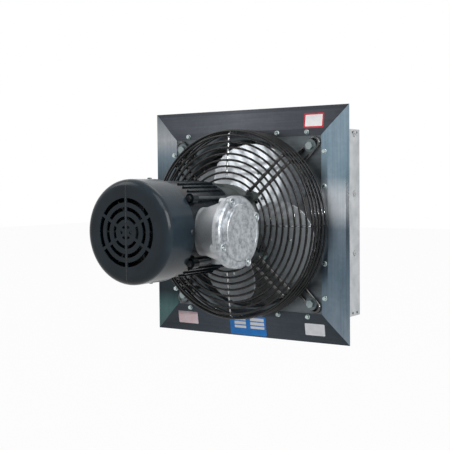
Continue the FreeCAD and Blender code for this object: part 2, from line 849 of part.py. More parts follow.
joint_front = bell_face + d.bell_length
joint_rear = joint_front + d.frame_length
rear_face = joint_rear + d.rear_bell_length
bearing_front = bell_face + d.bell_web + d.seat_gap
bearing_bore = d.bearing_radius + d.seat_gap
shaft_hole = d.shaft_radius + d.shaft_play
frame_bore = d.frame_radius - d.frame_wall
bell_flange = d.frame_radius - d.bell_step
core_radius = frame_bore * d.core_share
cowl_radius = d.frame_radius + d.cowl_over
bell_inside = d.bell_waist - d.bell_wall
bearing_seat = d.bearing_radius + d.bearing_seat_wall
bearing_back = bearing_front + d.bearing_width + d.seat_gap
tie_bolt_reach = d.frame_radius + d.tie_bolt_out
slant = float(d.tie_bolt_angle)
tie_bolt_x = tie_bolt_reach * math.cos(math.radians(slant))
tie_bolt_z = tie_bolt_reach * math.sin(math.radians(slant))


def lugs(name, front, rear, root):
    """Ears for the four long bolts, with the webs that join them to the shell."""
    parts = []
    for index, angle in enumerate((slant, 180 - slant, 180 + slant, -slant)):
        parts.append(spoke(f"{name}_web_{index}", angle, root, tie_bolt_reach, front, rear, d.lug_web))
    for index, (across, up) in enumerate(QUADRANTS):
        spot = (across * tie_bolt_x, -rear, up * tie_bolt_z)
        parts.append(cylinder(f"{name}_ear_{index}", d.lug_radius, rear - front, spot, "Y"))
    return parts


def bolt_bores(name, front, rear):
    """Holes for the four long bolts, right through the ears."""
    bores = []
    radius = d.tie_bolt_radius + d.screw_play
    length = rear - front + d.overshoot * 2
    for index, (across, up) in enumerate(QUADRANTS):
        spot = (across * tie_bolt_x, -(rear + d.overshoot), up * tie_bolt_z)
        bores.append(cylinder(f"{name}_bore_{index}", radius, length, spot, "Y"))
    return bores


bell = turned("front_bell", [
    (shaft_hole, -bell_face),
    (d.bell_face_radius, -bell_face),
    (d.bell_face_radius, -(bell_face + d.bell_land)),
    (d.bell_waist, -(bell_face + d.bell_neck)),
    (d.bell_waist + d.bell_taper, -(joint_front - d.bell_web)),
    (bell_flange, -(joint_front - d.bell_flange_length)),
    (bell_flange, -joint_front),
    (frame_bore, -joint_front),
    (bell_inside, -(joint_front - d.bell_web)),
    (bell_inside, -(bell_face + d.bell_web)),
    (bearing_seat, -(bell_face + d.bell_web)),
    (bearing_seat, -bearing_back),
    (bearing_bore, -bearing_back),
    (bearing_bore, -(bell_face + d.bell_web)),
    (shaft_hole, -(bell_face + d.bell_web)),
])
rib_section = polygon(bell, "bell_rib_section", "XY_Plane", [
    (d.bell_waist - d.rib_sink, -(bell_face + d.bell_web / 2)),
    (d.bell_face_radius - d.rib_front_inset, -(bell_face + d.bell_web / 2)),
    (bell_flange - d.rib_rear_inset, -(joint_front - d.rib_rear)),
    (d.bell_waist - d.rib_sink, -(joint_front - d.rib_rear)),
])
rib = pad(bell, "bell_rib_one", rib_section, d.bell_rib, both_ways=True)
ribs = bell.newObject("PartDesign::PolarPattern", "bell_ribs")
ribs.Originals = [rib]
ribs.Axis = (rib_section, ["V_Axis"])
ribs.Angle = 360
ribs.Occurrences = 8
bell.Tip = ribs
bell_lug_front = bell_face + d.bell_web
bell_lug_rear = bell_lug_front + d.front_lug_length
bell_cast = fuse("front_bell_cast", [bell] + lugs(
    "front_lug", bell_lug_front, bell_lug_rear, d.bell_waist - d.lug_sink))
tapped = []
for index, (across, up) in enumerate(QUADRANTS):
    spot = (across * d.motor_bolt_reach * DIAGONAL, -bell_face, up * d.motor_bolt_reach * DIAGONAL)
    depth = d.motor_bolt_depth + d.seat_gap * 2
    tapped.append(cylinder(f"bell_tapped_{index}", bolt_bore, depth, spot, "-Y"))
front_bores = bolt_bores("front_lug", bell_lug_front, bell_lug_rear)
keep(cut("front_bell_drilled", bell_cast, tapped + front_bores), "front_end_bell")

shell = turned("frame_shell", [
    (frame_bore, -(joint_front + d.seat_gap)),
    (d.frame_radius, -(joint_front + d.seat_gap)),
    (d.frame_radius, -(joint_rear - d.seat_gap)),
    (frame_bore, -(joint_rear - d.seat_gap)),
])
fins = []
for angle in FIN_ANGLES:
    fins.append(spoke(f"fin_{angle}", angle, d.frame_radius - d.fin_sink, d.frame_radius + d.fin_height,
                      joint_front + d.fin_inset, joint_rear - d.fin_inset, d.fin_width))
keep(fuse("frame_finned", [shell] + fins), "motor_frame")

spigot_radius = cowl_radius - d.cowl_sheet - d.spigot_play
rear_bearing_bore = d.rear_bearing_radius + d.seat_gap
rear_bearing_seat = d.rear_bearing_radius + d.bearing_seat_wall
rear_bearing_rear = rear_face - d.rear_web
rear_hub_front = joint_rear + d.rear_hub_set
rear_web_front = rear_bearing_rear - d.rear_boss
rear_web_back = rear_face + d.rear_boss
rear_hole = d.rear_journal + d.shaft_play
rear_bell = turned("rear_bell", [
    (rear_hole, -rear_web_back),
    (rear_hole, -rear_bearing_rear),
    (rear_bearing_bore, -rear_bearing_rear),
    (rear_bearing_bore, -rear_hub_front),
    (rear_bearing_seat, -rear_hub_front),
    (rear_bearing_seat, -rear_web_front),
    (frame_bore, -rear_web_front),
    (frame_bore, -joint_rear),
    (d.frame_radius, -joint_rear),
    (d.frame_radius, -rear_face),
    (spigot_radius, -rear_face),
    (spigot_radius, -(rear_face + d.spigot_length)),
    (spigot_radius - d.bell_wall, -(rear_face + d.spigot_length)),
    (spigot_radius - d.bell_wall, -rear_web_back),
])
rear_lug = joint_rear + d.rear_lug_set
rear_lug_end = rear_lug + d.rear_lug_length
rear_cast = fuse("rear_bell_cast", [rear_bell] + lugs(
    "rear_lug", rear_lug, rear_lug_end, d.frame_radius - d.lug_sink))
rear_bores = bolt_bores("rear_lug", rear_lug, rear_lug_end)
keep(cut("rear_bell_drilled", rear_cast, rear_bores), "rear_end_bell")

through_bolt = []
for index, (across, up) in enumerate(QUADRANTS):
    head = (across * tie_bolt_x, -(rear_lug_end + d.seat_gap), up * tie_bolt_z)
    rod_length = rear_lug_end + d.seat_gap - bell_lug_front
    through_bolt.append(fuse(f"through_bolt_{index}", [
        hexagon(f"through_head_{index}", d.tie_bolt_head, d.hex_crown, head, "-Y"),
        cylinder(f"through_rod_{index}", d.tie_bolt_radius, rod_length, head, "Y"),
    ]))
keep(group("through_bolt_set", through_bolt), "through_bolts")

# Cowl over the cooling fan

cowl_edge = rear_face + d.cowl_gap
cowl_rear = cowl_edge + d.cowl_length
cowl_inside = cowl_radius - d.cowl_sheet
cowl = turned("cowl", [
    (0, -cowl_rear),
    (cowl_radius, -cowl_rear),
    (cowl_radius, -cowl_edge),
    (cowl_inside, -cowl_edge),
    (cowl_inside, -(cowl_rear - d.cowl_sheet)),
    (0, -(cowl_rear - d.cowl_sheet)),
])
round_edges(cowl, "cowl_shoulder", (cowl_radius, -cowl_rear), d.cowl_shoulder)
round_edges(cowl, "cowl_inner_shoulder", (cowl_inside, -(cowl_rear - d.cowl_sheet)),
            d.cowl_shoulder - d.cowl_sheet)
slot_tools = []
slot_depth = d.cowl_sheet * 3
slot_start = (0, -(cowl_rear + d.cowl_sheet), 0)
for index in range(SLOT_RINGS):
    outer = d.slot_outer - d.slot_pitch * index
    inner = outer - d.slot_width + d.slot_narrowing * index
    slot_tools.append(cut(
        f"slot_ring_{index}",
        cylinder(f"slot_outer_{index}", outer, slot_depth, slot_start, "Y"),
        [cylinder(f"slot_inner_{index}", inner, slot_depth, slot_start, "Y")],
    ))
spokes = []
for angle in SPOKE_ANGLES:
    spokes.append(spoke(f"spoke_{angle}", angle, as_size(0), cowl_radius,
                        cowl_rear - slot_depth, cowl_rear + slot_depth, d.spoke_width))
slots = cut("cowl_slots", group("slot_rings", slot_tools), spokes)
keep(cut("cowl_slotted", cowl, [slots]), "fan_cowl")

# Stator and bearings

core_front = joint_front + (d.frame_length - d.core_length) / 2
core_rear = core_front + d.core_length
stator = turned("stator", [
    (core_radius, -core_front),
    (frame_bore - d.seat_gap, -core_front),
    (frame_bore - d.seat_gap, -core_rear),
    (core_radius, -core_rear),
])
keep(stator, "stator_core")
windings = []
winding_inside = core_radius + d.winding_inside
winding_outside = frame_bore - d.winding_outside
winding_ends = (("front", core_front - d.winding_length - d.seat_gap), ("rear", core_rear + d.seat_gap))
for name, near in winding_ends:
    windings.append(turned(f"winding_{name}", [
        (winding_inside, -near),
        (winding_outside, -near),
        (winding_outside, -(near + d.winding_length)),
        (winding_inside, -(near + d.winding_length)),
    ]))
keep(group("winding_set", windings), "stator_windings")


def bearing(name, journal, outer_radius, front):
    """Sealed ball bearing: an outer ring closed by its shields, and an inner ring on the shaft."""
    inner_radius = journal + d.inner_ring_wall
    rear = front + d.bearing_width
    keep(turned(f"{name}_outer", [
        (inner_radius + d.bearing_play, -front),
        (outer_radius, -front),
        (outer_radius, -rear),
        (inner_radius + d.bearing_play, -rear),
    ]), f"{name}_bearing_outer")
    keep(turned(f"{name}_inner", [
        (journal + d.spigot_play, -front),
        (inner_radius, -front),
        (inner_radius, -rear),
        (journal + d.spigot_play, -rear),
    ]), f"{name}_bearing_inner")


bearing("front", d.front_journal, d.bearing_radius, bearing_front)
bearing("rear", d.rear_journal, d.rear_bearing_radius, rear_bearing_rear - d.bearing_width - d.seat_gap)

# Rotor

journal_start = bearing_front + d.journal_shoulder
journal_end = bearing_front + d.bearing_width + d.journal_collar
fan_seat_start = rear_face + d.fan_seat_start
fan_front = rear_face + d.spigot_length + d.cooling_fan_gap
shaft_rear = fan_front + d.cooling_fan_length + d.shaft_end_gap
shaft = turned("shaft", [
    (0, d.shaft_front),
    (d.shaft_radius, d.shaft_front),
    (d.shaft_radius, -journal_start),
    (d.front_journal, -journal_start),
    (d.front_journal, -journal_end),
    (d.rotor_seat, -journal_end),
    (d.rotor_seat, -(joint_rear - d.rotor_seat_end)),
    (d.rear_journal, -(joint_rear - d.rotor_seat_end)),
    (d.rear_journal, -fan_seat_start),
    (d.fan_seat, -fan_seat_start),
    (d.fan_seat, -shaft_rear),
    (0, -shaft_rear),
])
keep(shaft, "motor_shaft")
keep(turned("rotor", [
    (d.rotor_seat + d.spigot_play, -core_front),
    (core_radius - d.air_gap, -core_front),
    (core_radius - d.air_gap, -core_rear),
    (d.rotor_seat + d.spigot_play, -core_rear),
]), "rotor_core")

fan_hub_end = fan_front + d.fan_hub_length
paddle_front = fan_front + d.cooling_fan_blade / 2
paddle_edge = d.cooling_fan_radius - d.paddle_inset
fan = turned("fan_hub", [
    (d.fan_seat + d.spigot_play, -fan_front),
    (d.cooling_fan_radius, -fan_front),
    (d.cooling_fan_radius, -(fan_front + d.cooling_fan_blade)),
    (d.fan_hub_root, -(fan_front + d.cooling_fan_blade * 2)),
    (d.fan_hub_radius, -fan_hub_end),
    (d.fan_seat + d.spigot_play, -fan_hub_end),
])
paddle_section = polygon(fan, "paddle_section", "XY_Plane", [
    (d.paddle_root, -paddle_front),
    (paddle_edge, -paddle_front),
    (paddle_edge, -fan_hub_end),
    (d.paddle_peak, -(fan_front + d.cooling_fan_length)),
    (d.paddle_root, -(fan_front + d.paddle_root_length)),
])
paddle = pad(fan, "paddle_one", paddle_section, d.cooling_fan_blade, both_ways=True)
paddles = fan.newObject("PartDesign::PolarPattern", "paddles")
paddles.Originals = [paddle]
paddles.Axis = (paddle_section, ["V_Axis"])
paddles.Angle = 360
paddles.Occurrences = 6
fan.Tip = paddles
keep(fan, "cooling_fan")

# Propeller

propeller_radius = d.throat_radius - d.tip_gap
blade_half_height = (propeller_radius + d.blade_trim - d.blade_root) / 2
blade_centre = d.blade_root + blade_half_height
ROOT_WIDTH, MIDDLE_WIDTH, TIP_WIDTH = 0.75, 1.25, 1.375
ROOT_CAMBER = 0.3
TIP_SHARE = 1.1


def blade_section(distance, half_chord, camber, back, front):
    """Cambered section across a blade at a distance from the axle, set at the angle of a screw surface."""
    angle = math.atan2(float(d.pitch_run), distance)
    along = Vector(math.cos(angle), math.sin(angle), 0)
    normal = Vector(-math.sin(angle), math.cos(angle), 0)

    def edge(offset):
        ends = [along * (half_chord * step) + normal * offset for step in (-1, 1)]
        middle = normal * (offset + camber)
        lift = Vector(0, float(d.propeller_centre), distance)
        return Part.Arc(ends[0] + lift, middle + lift, ends[1] + lift).toShape()

    upper = edge(front)
    lower = edge(back)
    sides = [Part.makeLine(upper.Vertexes[end].Point, lower.Vertexes[end].Point) for end in (0, 1)]
    return Part.Wire(Part.__sortEdges__([upper, lower] + sides))


def blade_sheet(back, front):
    """Twisted sheet of a blade, larger than its outline, with the blade pointing along +Z."""
    camber = float(d.blade_camber)
    wide = float(d.blade_half_width)
    sections = []
    for distance, width_share, camber_share in (
        (d.spider_root, ROOT_WIDTH, ROOT_CAMBER),
        (blade_centre, MIDDLE_WIDTH, 1),
        (blade_centre + blade_half_height * TIP_SHARE, TIP_WIDTH, 1),
    ):
        sections.append(blade_section(
            float(distance), wide * width_share, camber * camber_share, back, front))
    return Part.makeLoft(sections, True, False)


def one_solid(shape):
    return max(shape.Solids, key=lambda solid: solid.Volume)


half_sheet = float(d.blade_sheet) / 2
half_depth = float(d.blade_half_width)
propeller_centre = float(d.propeller_centre)
front_plane = Vector(0, propeller_centre - half_depth, 0)
outline_curve = Part.Ellipse(Vector(), float(d.blade_half_width), float(blade_half_height)).toShape()
outline_curve.Placement = Placement(
    front_plane + Vector(0, 0, float(blade_centre)), Rotation(Vector(1, 0, 0), 90))
outline = Part.Face(Part.Wire([outline_curve])).extrude(AXLE * (half_depth * 2))
disc = Part.makeCylinder(float(propeller_radius), half_depth * 2, front_plane, AXLE)
blade_shape = one_solid(blade_sheet(-half_sheet, half_sheet).common(outline).common(disc))

spider_back = half_sheet + float(d.seat_gap)
spider_depth = float(d.spider_half_depth) * 2
spider_front = propeller_centre - float(d.spider_half_depth)
half_arm = float(d.spider_width) / 2
tip_centre = float(d.spider_reach) - half_arm
arm_plan = Part.makeBox(half_arm * 2, spider_depth, tip_centre, Vector(-half_arm, spider_front, 0))
arm_tip = Part.makeCylinder(half_arm, spider_depth, Vector(0, spider_front, tip_centre), AXLE)
arm_sheet = blade_sheet(spider_back, spider_back + float(d.spider_sheet))
spider_arm = one_solid(arm_sheet.common(arm_plan.fuse(arm_tip)))

blade_places = [round_the_axle(float(d.first_blade_angle) + 90 * index - 90) for index in range(4)]
for index, place in enumerate(blade_places, start=1):
    blade = doc.addObject("Part::Feature", f"blade_sheet_{index}")
    blade.Shape = blade_shape
    blade.Placement = place
    keep(blade, f"blade_{index}")
hub_bore = d.shaft_radius + d.spigot_play
hub_rear = d.propeller_centre + d.hub_behind
hub_nose = hub_rear - d.hub_length
hub = turned("hub_boss", [
    (hub_bore, hub_rear),
    (d.hub_radius, hub_rear),
    (d.hub_radius, hub_rear - d.hub_straight),
    (d.hub_nose_radius, hub_nose),
    (hub_bore, hub_nose),
])
doc.recompute()
hub_shape = hub.Shape
for place in blade_places:
    turned_arm = spider_arm.copy()
    turned_arm.Placement = place
    hub_shape = hub_shape.fuse(turned_arm)
bore = Part.makeCylinder(float(hub_bore), half_depth * 2, front_plane, AXLE)
propeller_hub = doc.addObject("Part::Feature", "hub_cast")
propeller_hub.Shape = one_solid(hub_shape.cut(bore))
keep(propeller_hub, "propeller_hub")

# Conduit box

along_box = Rotation(Vector(0, 0, 1), -90)
box_centre = joint_rear - d.box_set
box_at = (0, -box_centre, -d.box_drop)
box_foot = d.frame_radius - d.box_foot
box_floor = d.frame_radius + d.box_floor_wall
box_rim_face = box_floor + d.box_depth
box_rim_back = box_rim_face - d.box_rim_sheet
inner_base = d.box_base_radius - d.box_wall
inner_mouth = d.box_mouth_radius - d.box_wall
box_cast = turned("box_cast", [
    (0, box_foot),
    (d.box_base_radius, box_foot),
    (d.box_base_radius, d.frame_radius),
    (d.box_mouth_radius, box_rim_back - d.box_rim_chamfer),
    (d.box_rim_radius, box_rim_back),
    (d.box_rim_radius, box_rim_face),
    (0, box_rim_face),
])
locate(box_cast, box_at, along_box)
lug_reach = d.box_rim_radius - d.cover_lug_inset


def cover_lugs(name, inner, length):
    """Round lugs for the cover screws, from a distance along the box axis outwards."""
    parts = []
    for angle in LUG_ANGLES:
        along = lug_reach * math.cos(math.radians(angle)) - box_centre
        up = lug_reach * math.sin(math.radians(angle)) - d.box_drop
        parts.append(cylinder(f"{name}_{angle}", d.cover_lug_radius, length, (inner, along, up), "X"))
    return parts


entry_at = (box_floor + d.entry_offset, -box_centre, -d.box_drop)
entry_boss = cylinder("entry_boss_body", d.entry_boss, d.entry_face, entry_at, "-Z")
hollow_box = turned("box_hollow", [
    (0, box_floor),
    (inner_base, box_floor),
    (inner_mouth, box_rim_face),
    (inner_mouth, box_rim_face + d.overshoot),
    (0, box_rim_face + d.overshoot),
])
locate(hollow_box, box_at, along_box)
saddle = cylinder("saddle", d.frame_radius + d.seat_gap, d.frame_length * 2,
                  (0, -joint_rear - d.frame_length, 0), "Y")
entry = cylinder("entry_bore", d.entry_radius, d.entry_face + d.overshoot, entry_at, "-Z")
box_lugs = cover_lugs("box_lug", box_rim_face - d.box_lug_length, d.box_lug_length)
box_whole = fuse("box_whole", [box_cast, entry_boss] + box_lugs)
keep(cut("box_machined", box_whole, [hollow_box, saddle, entry]), "conduit_box")

cover_base = box_rim_face + d.seat_gap
cover_top = cover_base + d.cover_depth
crown_foot = d.box_rim_radius - d.cover_land
lid = turned("cover_cast", [
    (0, cover_base),
    (d.box_rim_radius, cover_base),
    (d.box_rim_radius, cover_top - d.cover_bevel_drop),
    (d.box_rim_radius - d.cover_bevel, cover_top),
    (crown_foot, cover_top),
    (crown_foot - d.cover_crown_slope, cover_top + d.cover_crown),
    (0, cover_top + d.cover_crown),
])
locate(lid, box_at, along_box)
lid_lugs = cover_lugs("lid_lug", cover_base, d.cover_depth)
keep(fuse("cover_whole", [lid] + lid_lugs), "conduit_cover")

# Write each piece

doc.recompute()
for part in doc.Objects:
    if "Invalid" in part.State or "Error" in part.State:
        raise RuntimeError(f"{part.Label} did not build: {part.State}")
os.makedirs("parts", exist_ok=True)
for node in nodes:
    if node.Shape.isNull() or not node.Shape.isValid():
        raise RuntimeError(f"{node.Label} has no valid shape")
    node.Shape.exportStep(f"parts/{node.Label}.step")
print(len(nodes), "pieces written")
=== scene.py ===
"""Looks of a square shutter exhaust fan: galvanised flange strips, a black wire guard, an enclosed motor
carried on four wire arms, a sheet aluminium propeller and a gravity shutter behind it.

Lengths are millimetres and become metres when a mesh is made; the floor, lamps and camera are in metres.
+X is to the right of someone facing the motor, +Y goes through the wall and +Z is up; the origin is the
centre of the wall opening.
"""

import json
import math

import bpy
import numpy as np
from mathutils import Matrix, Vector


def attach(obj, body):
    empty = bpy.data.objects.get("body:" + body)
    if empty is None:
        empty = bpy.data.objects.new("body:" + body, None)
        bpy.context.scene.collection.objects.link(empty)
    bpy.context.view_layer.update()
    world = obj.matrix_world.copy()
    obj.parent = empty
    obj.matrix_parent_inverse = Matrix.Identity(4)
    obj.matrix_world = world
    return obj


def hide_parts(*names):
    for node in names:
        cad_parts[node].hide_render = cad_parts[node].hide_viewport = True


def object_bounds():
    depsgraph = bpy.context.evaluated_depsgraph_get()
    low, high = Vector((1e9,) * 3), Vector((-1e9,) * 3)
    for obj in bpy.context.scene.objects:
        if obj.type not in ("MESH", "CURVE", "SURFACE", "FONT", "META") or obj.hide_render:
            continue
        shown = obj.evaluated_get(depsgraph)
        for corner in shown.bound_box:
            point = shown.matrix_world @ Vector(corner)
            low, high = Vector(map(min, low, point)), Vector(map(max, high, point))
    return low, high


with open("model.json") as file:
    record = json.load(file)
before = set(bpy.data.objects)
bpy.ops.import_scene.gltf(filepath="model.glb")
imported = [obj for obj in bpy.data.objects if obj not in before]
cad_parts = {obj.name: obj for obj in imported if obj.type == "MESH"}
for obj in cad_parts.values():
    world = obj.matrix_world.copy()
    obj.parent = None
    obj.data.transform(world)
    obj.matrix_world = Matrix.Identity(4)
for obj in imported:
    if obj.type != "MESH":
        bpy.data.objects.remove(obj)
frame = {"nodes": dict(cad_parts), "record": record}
cad_low, cad_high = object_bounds()

MM = 0.001
FULL_TURN = 2 * math.pi
SHARP_EDGE = math.radians(32)
QUARTERS = (0, 90, 180, 270)
DIAGONALS = (45, 135, 225, 315)

# Sizes taken over from the part, in millimetres and degrees

HALF_PANEL = cad_high.x / MM
STRIP_RISE = 5.0
STRIP_SEAT = (162.5, 175.0)
STRIP_SEAT_FRONT = -6.2
STRIP_RIM = (209.0, HALF_PANEL)
STRIP_RIM_FRONT = -1.2
FRAME_OUTSIDE = 176.3
GUARD_RADIUS = 175.5
FRONT_RING_OUTER = 165.7
FRONT_RINGS = 8
RING_PITCH = 11.4
SIDE_RINGS = 4
SIDE_RING_GAP = 12.2
RING_WIRE = 2.0
RADIAL_WIRE = 1.8
RADIAL_BEND = 7.0
RADIAL_FOOT = 10.0
ARM_WIRE = 3.2
ARM_SPREAD = 17.5
ARM_START = 56.0
ARM_KINK = 84.0
ARM_KINK_BEND = 40.0
ARM_BEND = 6.0
ARM_END = 220.0
ARM_FACE = 70.6
ARM_RIM = 60.4
SEAT_GAP = 0.1
COWL_RADIUS = 85.7
COVER_FACE = 143.1
COVER_CROWN = 147.1
BOX_AXIS = (-245, -2)
LUG_REACH = 54.0
LUG_ANGLES = (25, 115, 205, 295)
BLADE_MIDDLE = -22

HOOP_SAG = ARM_SPREAD ** 2 / (GUARD_RADIUS * 8)
ARM_SIDE = GUARD_RADIUS - HOOP_SAG - RING_WIRE - ARM_WIRE - SEAT_GAP
ARM_SLOPE = (ARM_FACE - ARM_RIM) / (ARM_SIDE - ARM_KINK)
ARM_FOOT = STRIP_RISE + ARM_WIRE + SEAT_GAP


def face_height(radius):
    """Distance of the arm wires from the wall where they cross the guard face: it falls evenly with the
    radius."""
    return ARM_FACE - (radius - ARM_KINK) * ARM_SLOPE


# Skins: grids of points with their faces

def net(rows, columns, close_rows):
    """Faces of a grid whose rows are closed outlines: each joins a point, its neighbour in the row and the
    two points of the next row. Where the rows close as well, the last row is joined to the first."""
    index = np.arange(rows * columns).reshape(rows, columns)
    if close_rows:
        index = np.vstack([index, index[:1]])
    index = np.hstack([index, index[:, :1]])
    corners = [index[:-1, :-1], index[:-1, 1:], index[1:, 1:], index[1:, :-1]]
    return np.stack(corners, axis=-1).reshape(-1, 4)


def outward(points, faces):
    """Faces turned so that the volume under them, summed over their triangles, is positive."""
    volume = 0.0
    for block in faces:
        first = points[block[:, 0]]
        for corner in range(1, block.shape[1] - 1):
            across = np.cross(points[block[:, corner]], points[block[:, corner + 1]])
            volume += np.sum(first * across)
    return faces if volume > 0 else [block[:, ::-1] for block in faces]


def hoop(points):
    """Skin of a grid that closes on itself in both directions, such as a ring."""
    rows, columns = points.shape[:2]
    flat = points.reshape(-1, 3)
    return flat, outward(flat, [net(rows, columns, True)])


def barrel(points):
    """Skin of a grid whose rows are closed outlines, shut at both ends by triangles to the middle of the end
    row."""
    rows, columns = points.shape[:2]
    ends = np.stack([points[0].mean(axis=0), points[-1].mean(axis=0)])
    flat = np.concatenate([points.reshape(-1, 3), ends])
    around = np.arange(columns)
    beside = np.roll(around, -1)
    last = (rows - 1) * columns
    first_pole = np.full(columns, rows * columns)
    front = np.stack([first_pole, beside, around], axis=-1)
    back = np.stack([first_pole + 1, last + around, last + beside], axis=-1)
    return flat, outward(flat, [net(rows, columns, False), front, back])


def piece(name, skins, body, finish, stands_for=()):
    """One object made of several skins. Its place is in its mesh, and its faces turn smoothly except at edges
    sharper than SHARP_EDGE."""
    points = np.concatenate([skin_points for skin_points, _ in skins]) * MM
    starts = np.cumsum([0] + [len(skin_points) for skin_points, _ in skins])
    blocks = [block + start for (_, faces), start in zip(skins, starts) for block in faces]
    corners = np.concatenate([block.ravel() for block in blocks])
    sides = np.concatenate([np.full(len(block), block.shape[1]) for block in blocks])
    mesh = bpy.data.meshes.new(name)
    mesh.vertices.add(len(points))
    mesh.vertices.foreach_set("co", points.astype(np.float32).ravel())
    mesh.loops.add(len(corners))
    mesh.loops.foreach_set("vertex_index", corners.astype(np.int32))
    mesh.polygons.add(len(sides))
    mesh.polygons.foreach_set("loop_start", (np.cumsum(sides) - sides).astype(np.int32))
    mesh.update(calc_edges=True)
    mesh.validate()
    mesh.shade_smooth()
    mesh.set_sharp_from_angle(angle=SHARP_EDGE)
    mesh.materials.append(finish)
    made = bpy.data.objects.new(name, mesh)
    bpy.context.scene.collection.objects.link(made)
    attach(made, body)
    if stands_for:
        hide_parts(*stands_for)


def moved(skin, axes, place):
    """A skin whose x, y and z are laid along three given directions, then shifted to a place."""
    points, faces = skin
    laid = points @ np.asarray(axes, float) + np.asarray(place, float)
    return laid, outward(laid - laid.mean(axis=0), faces)


def about_axle(points, degrees):
    """Points turned about the axle: x and z mix by the cosine and sine of the angle, and y stays."""
    cosine, sine = math.cos(math.radians(degrees)), math.sin(math.radians(degrees))
    x, y, z = np.moveaxis(points, -1, 0)
    return np.stack([cosine * x - sine * z, y, sine * x + cosine * z], axis=-1)


# Shapes

TIP_SHARE = 0.001
NOSE_STATIONS = (0.0, 0.45, 0.8, 1.0)
DOME_TIP = 0.001
DOME_SINK = 0.2
DIMPLE_TIP = 0.02


def ring_wire(radius, height, wire, steps=160, sides=12):
    """Round wire bent to a ring about the axle: a small circle, carried round a large one. The point at
    angles a round the axle and b round the wire is radius + wire cos b from the axle, along a, and wire sin b
    from the ring's plane."""
    a = np.linspace(0, FULL_TURN, steps, endpoint=False)[:, None]
    b = np.linspace(0, FULL_TURN, sides, endpoint=False)[None, :]
    reach = radius + wire * np.cos(b)
    level = np.broadcast_to(-height + wire * np.sin(b), (steps, sides))
    return hoop(np.stack([reach * np.cos(a), level, reach * np.sin(a)], axis=-1))


def bent_path(corners, bends, turns=9):
    """Straight runs with rounded corners. Each arc leaves one run at the bend radius times the tangent of
    half the corner's angle before the corner, and turns evenly into the next run."""
    corners = np.asarray(corners, float)
    runs = [corners[:1]]
    for before, corner, after, bend in zip(corners[:-2], corners[1:-1], corners[2:], bends):
        entry = (corner - before) / np.linalg.norm(corner - before)
        leaving = (after - corner) / np.linalg.norm(after - corner)
        angle = math.acos(np.clip(entry @ leaving, -1, 1))
        inward = leaving - (leaving @ entry) * entry
        inward /= np.linalg.norm(inward)
        start = corner - entry * bend * math.tan(angle / 2)
        share = np.linspace(0, angle, turns)[:, None]
        runs.append(start + bend * (np.sin(share) * entry + (1 - np.cos(share)) * inward))
    return np.concatenate(runs + [corners[-1:]])


def wire_along(path, wire, lean, sides=12):
    """Round wire along a path: a circle square to the path at each point, shrunk at the two ends as a quarter
    circle does. The circle's first direction is the lean made square to the path, and the second is square to
    both."""
    tangent = np.gradient(path, axis=0)
    tangent /= np.linalg.norm(tangent, axis=1)[:, None]
    first = lean - (tangent @ lean)[:, None] * tangent
    first /= np.linalg.norm(first, axis=1)[:, None]
    second = np.cross(tangent, first)
    b = np.linspace(0, FULL_TURN, sides, endpoint=False)[None, :, None]
    circle = np.cos(b) * first[:, None] + np.sin(b) * second[:, None]
    stations = np.array(NOSE_STATIONS)
    nose = TIP_SHARE + (1 - TIP_SHARE) * np.sqrt(1 - (1 - stations) ** 2)
    front = path[0] + tangent[0] * wire * stations[:, None]
    back = path[-1] - tangent[-1] * wire * stations[::-1, None]
    middles = np.concatenate([front, path[1:-1], back])
    first_circles = np.repeat(circle[:1], len(stations), axis=0)
    last_circles = np.repeat(circle[-1:], len(stations), axis=0)
    circles = np.concatenate([first_circles, circle[1:-1], last_circles])
    widths = np.concatenate([nose, np.ones(len(path) - 2), nose[::-1]])
    return barrel(middles[:, None] + circles * (wire * widths)[:, None, None])


def turned(profile, steps=32):
    """Solid of revolution about z: each (radius, height) of the profile is carried round a full circle."""
    radius, height = np.asarray(profile, float).T
    a = np.linspace(0, FULL_TURN, steps, endpoint=False)[None, :]
    x = radius[:, None] * np.cos(a)
    y = radius[:, None] * np.sin(a)
    return barrel(np.stack([x, y, np.broadcast_to(height[:, None], x.shape)], axis=-1))


def hex_head(flats, height, washer, washer_sheet, steps=48):
    """Hexagon head on a round collar, standing along z. The hexagon's radius at angle a is half the flats
    over the cosine of a's distance from the nearest flat; its corners are cut by a cone of thirty degrees."""
    a = np.linspace(0, FULL_TURN, steps, endpoint=False)
    inner = flats / 2
    crown = inner * 0.96
    top = washer_sheet + height
    hexagon = inner / np.cos((a + math.pi / 6) % (math.pi / 3) - math.pi / 6)
    drop = (hexagon - crown) * math.tan(math.radians(30))
    outlines = [
        (washer, 0.0),
        (washer, washer_sheet * 0.6),
        (washer - washer_sheet * 0.5, washer_sheet),
        (hexagon, washer_sheet * 1.02),
        (hexagon, top - drop),
        (crown, top),
        (inner * 0.5, washer_sheet + height * 0.97),
    ]
    rows = [np.broadcast_arrays(reach * np.cos(a), reach * np.sin(a), level) for reach, level in outlines]
    return barrel(np.stack([np.stack(row, axis=-1) for row in rows]))


def dome(radius, height, rows=7, steps=28):
    """Rivet head: half an ellipse turned about z, its radius falling as the cosine and its height rising as
    the sine of one angle. Its edge goes on a little below the seat."""
    angle = np.linspace(0, math.pi / 2, rows)
    profile = np.stack([radius * np.cos(angle) + DOME_TIP, height * np.sin(angle)], axis=-1)
    return turned(np.concatenate([[[radius, -DOME_SINK]], profile]), steps)


def pan_head(radius, height):
    """Pan screw head with a round dimple for the driver: points at shares of the head's radius and height,
    turned about z."""
    return turned([
        (radius, 0), (radius, height * 0.45), (radius * 0.93, height * 0.75), (radius * 0.75, height * 0.95),
        (radius * 0.5, height), (radius * 0.3, height), (radius * 0.22, height * 0.45),
        (DIMPLE_TIP, height * 0.35),
    ])


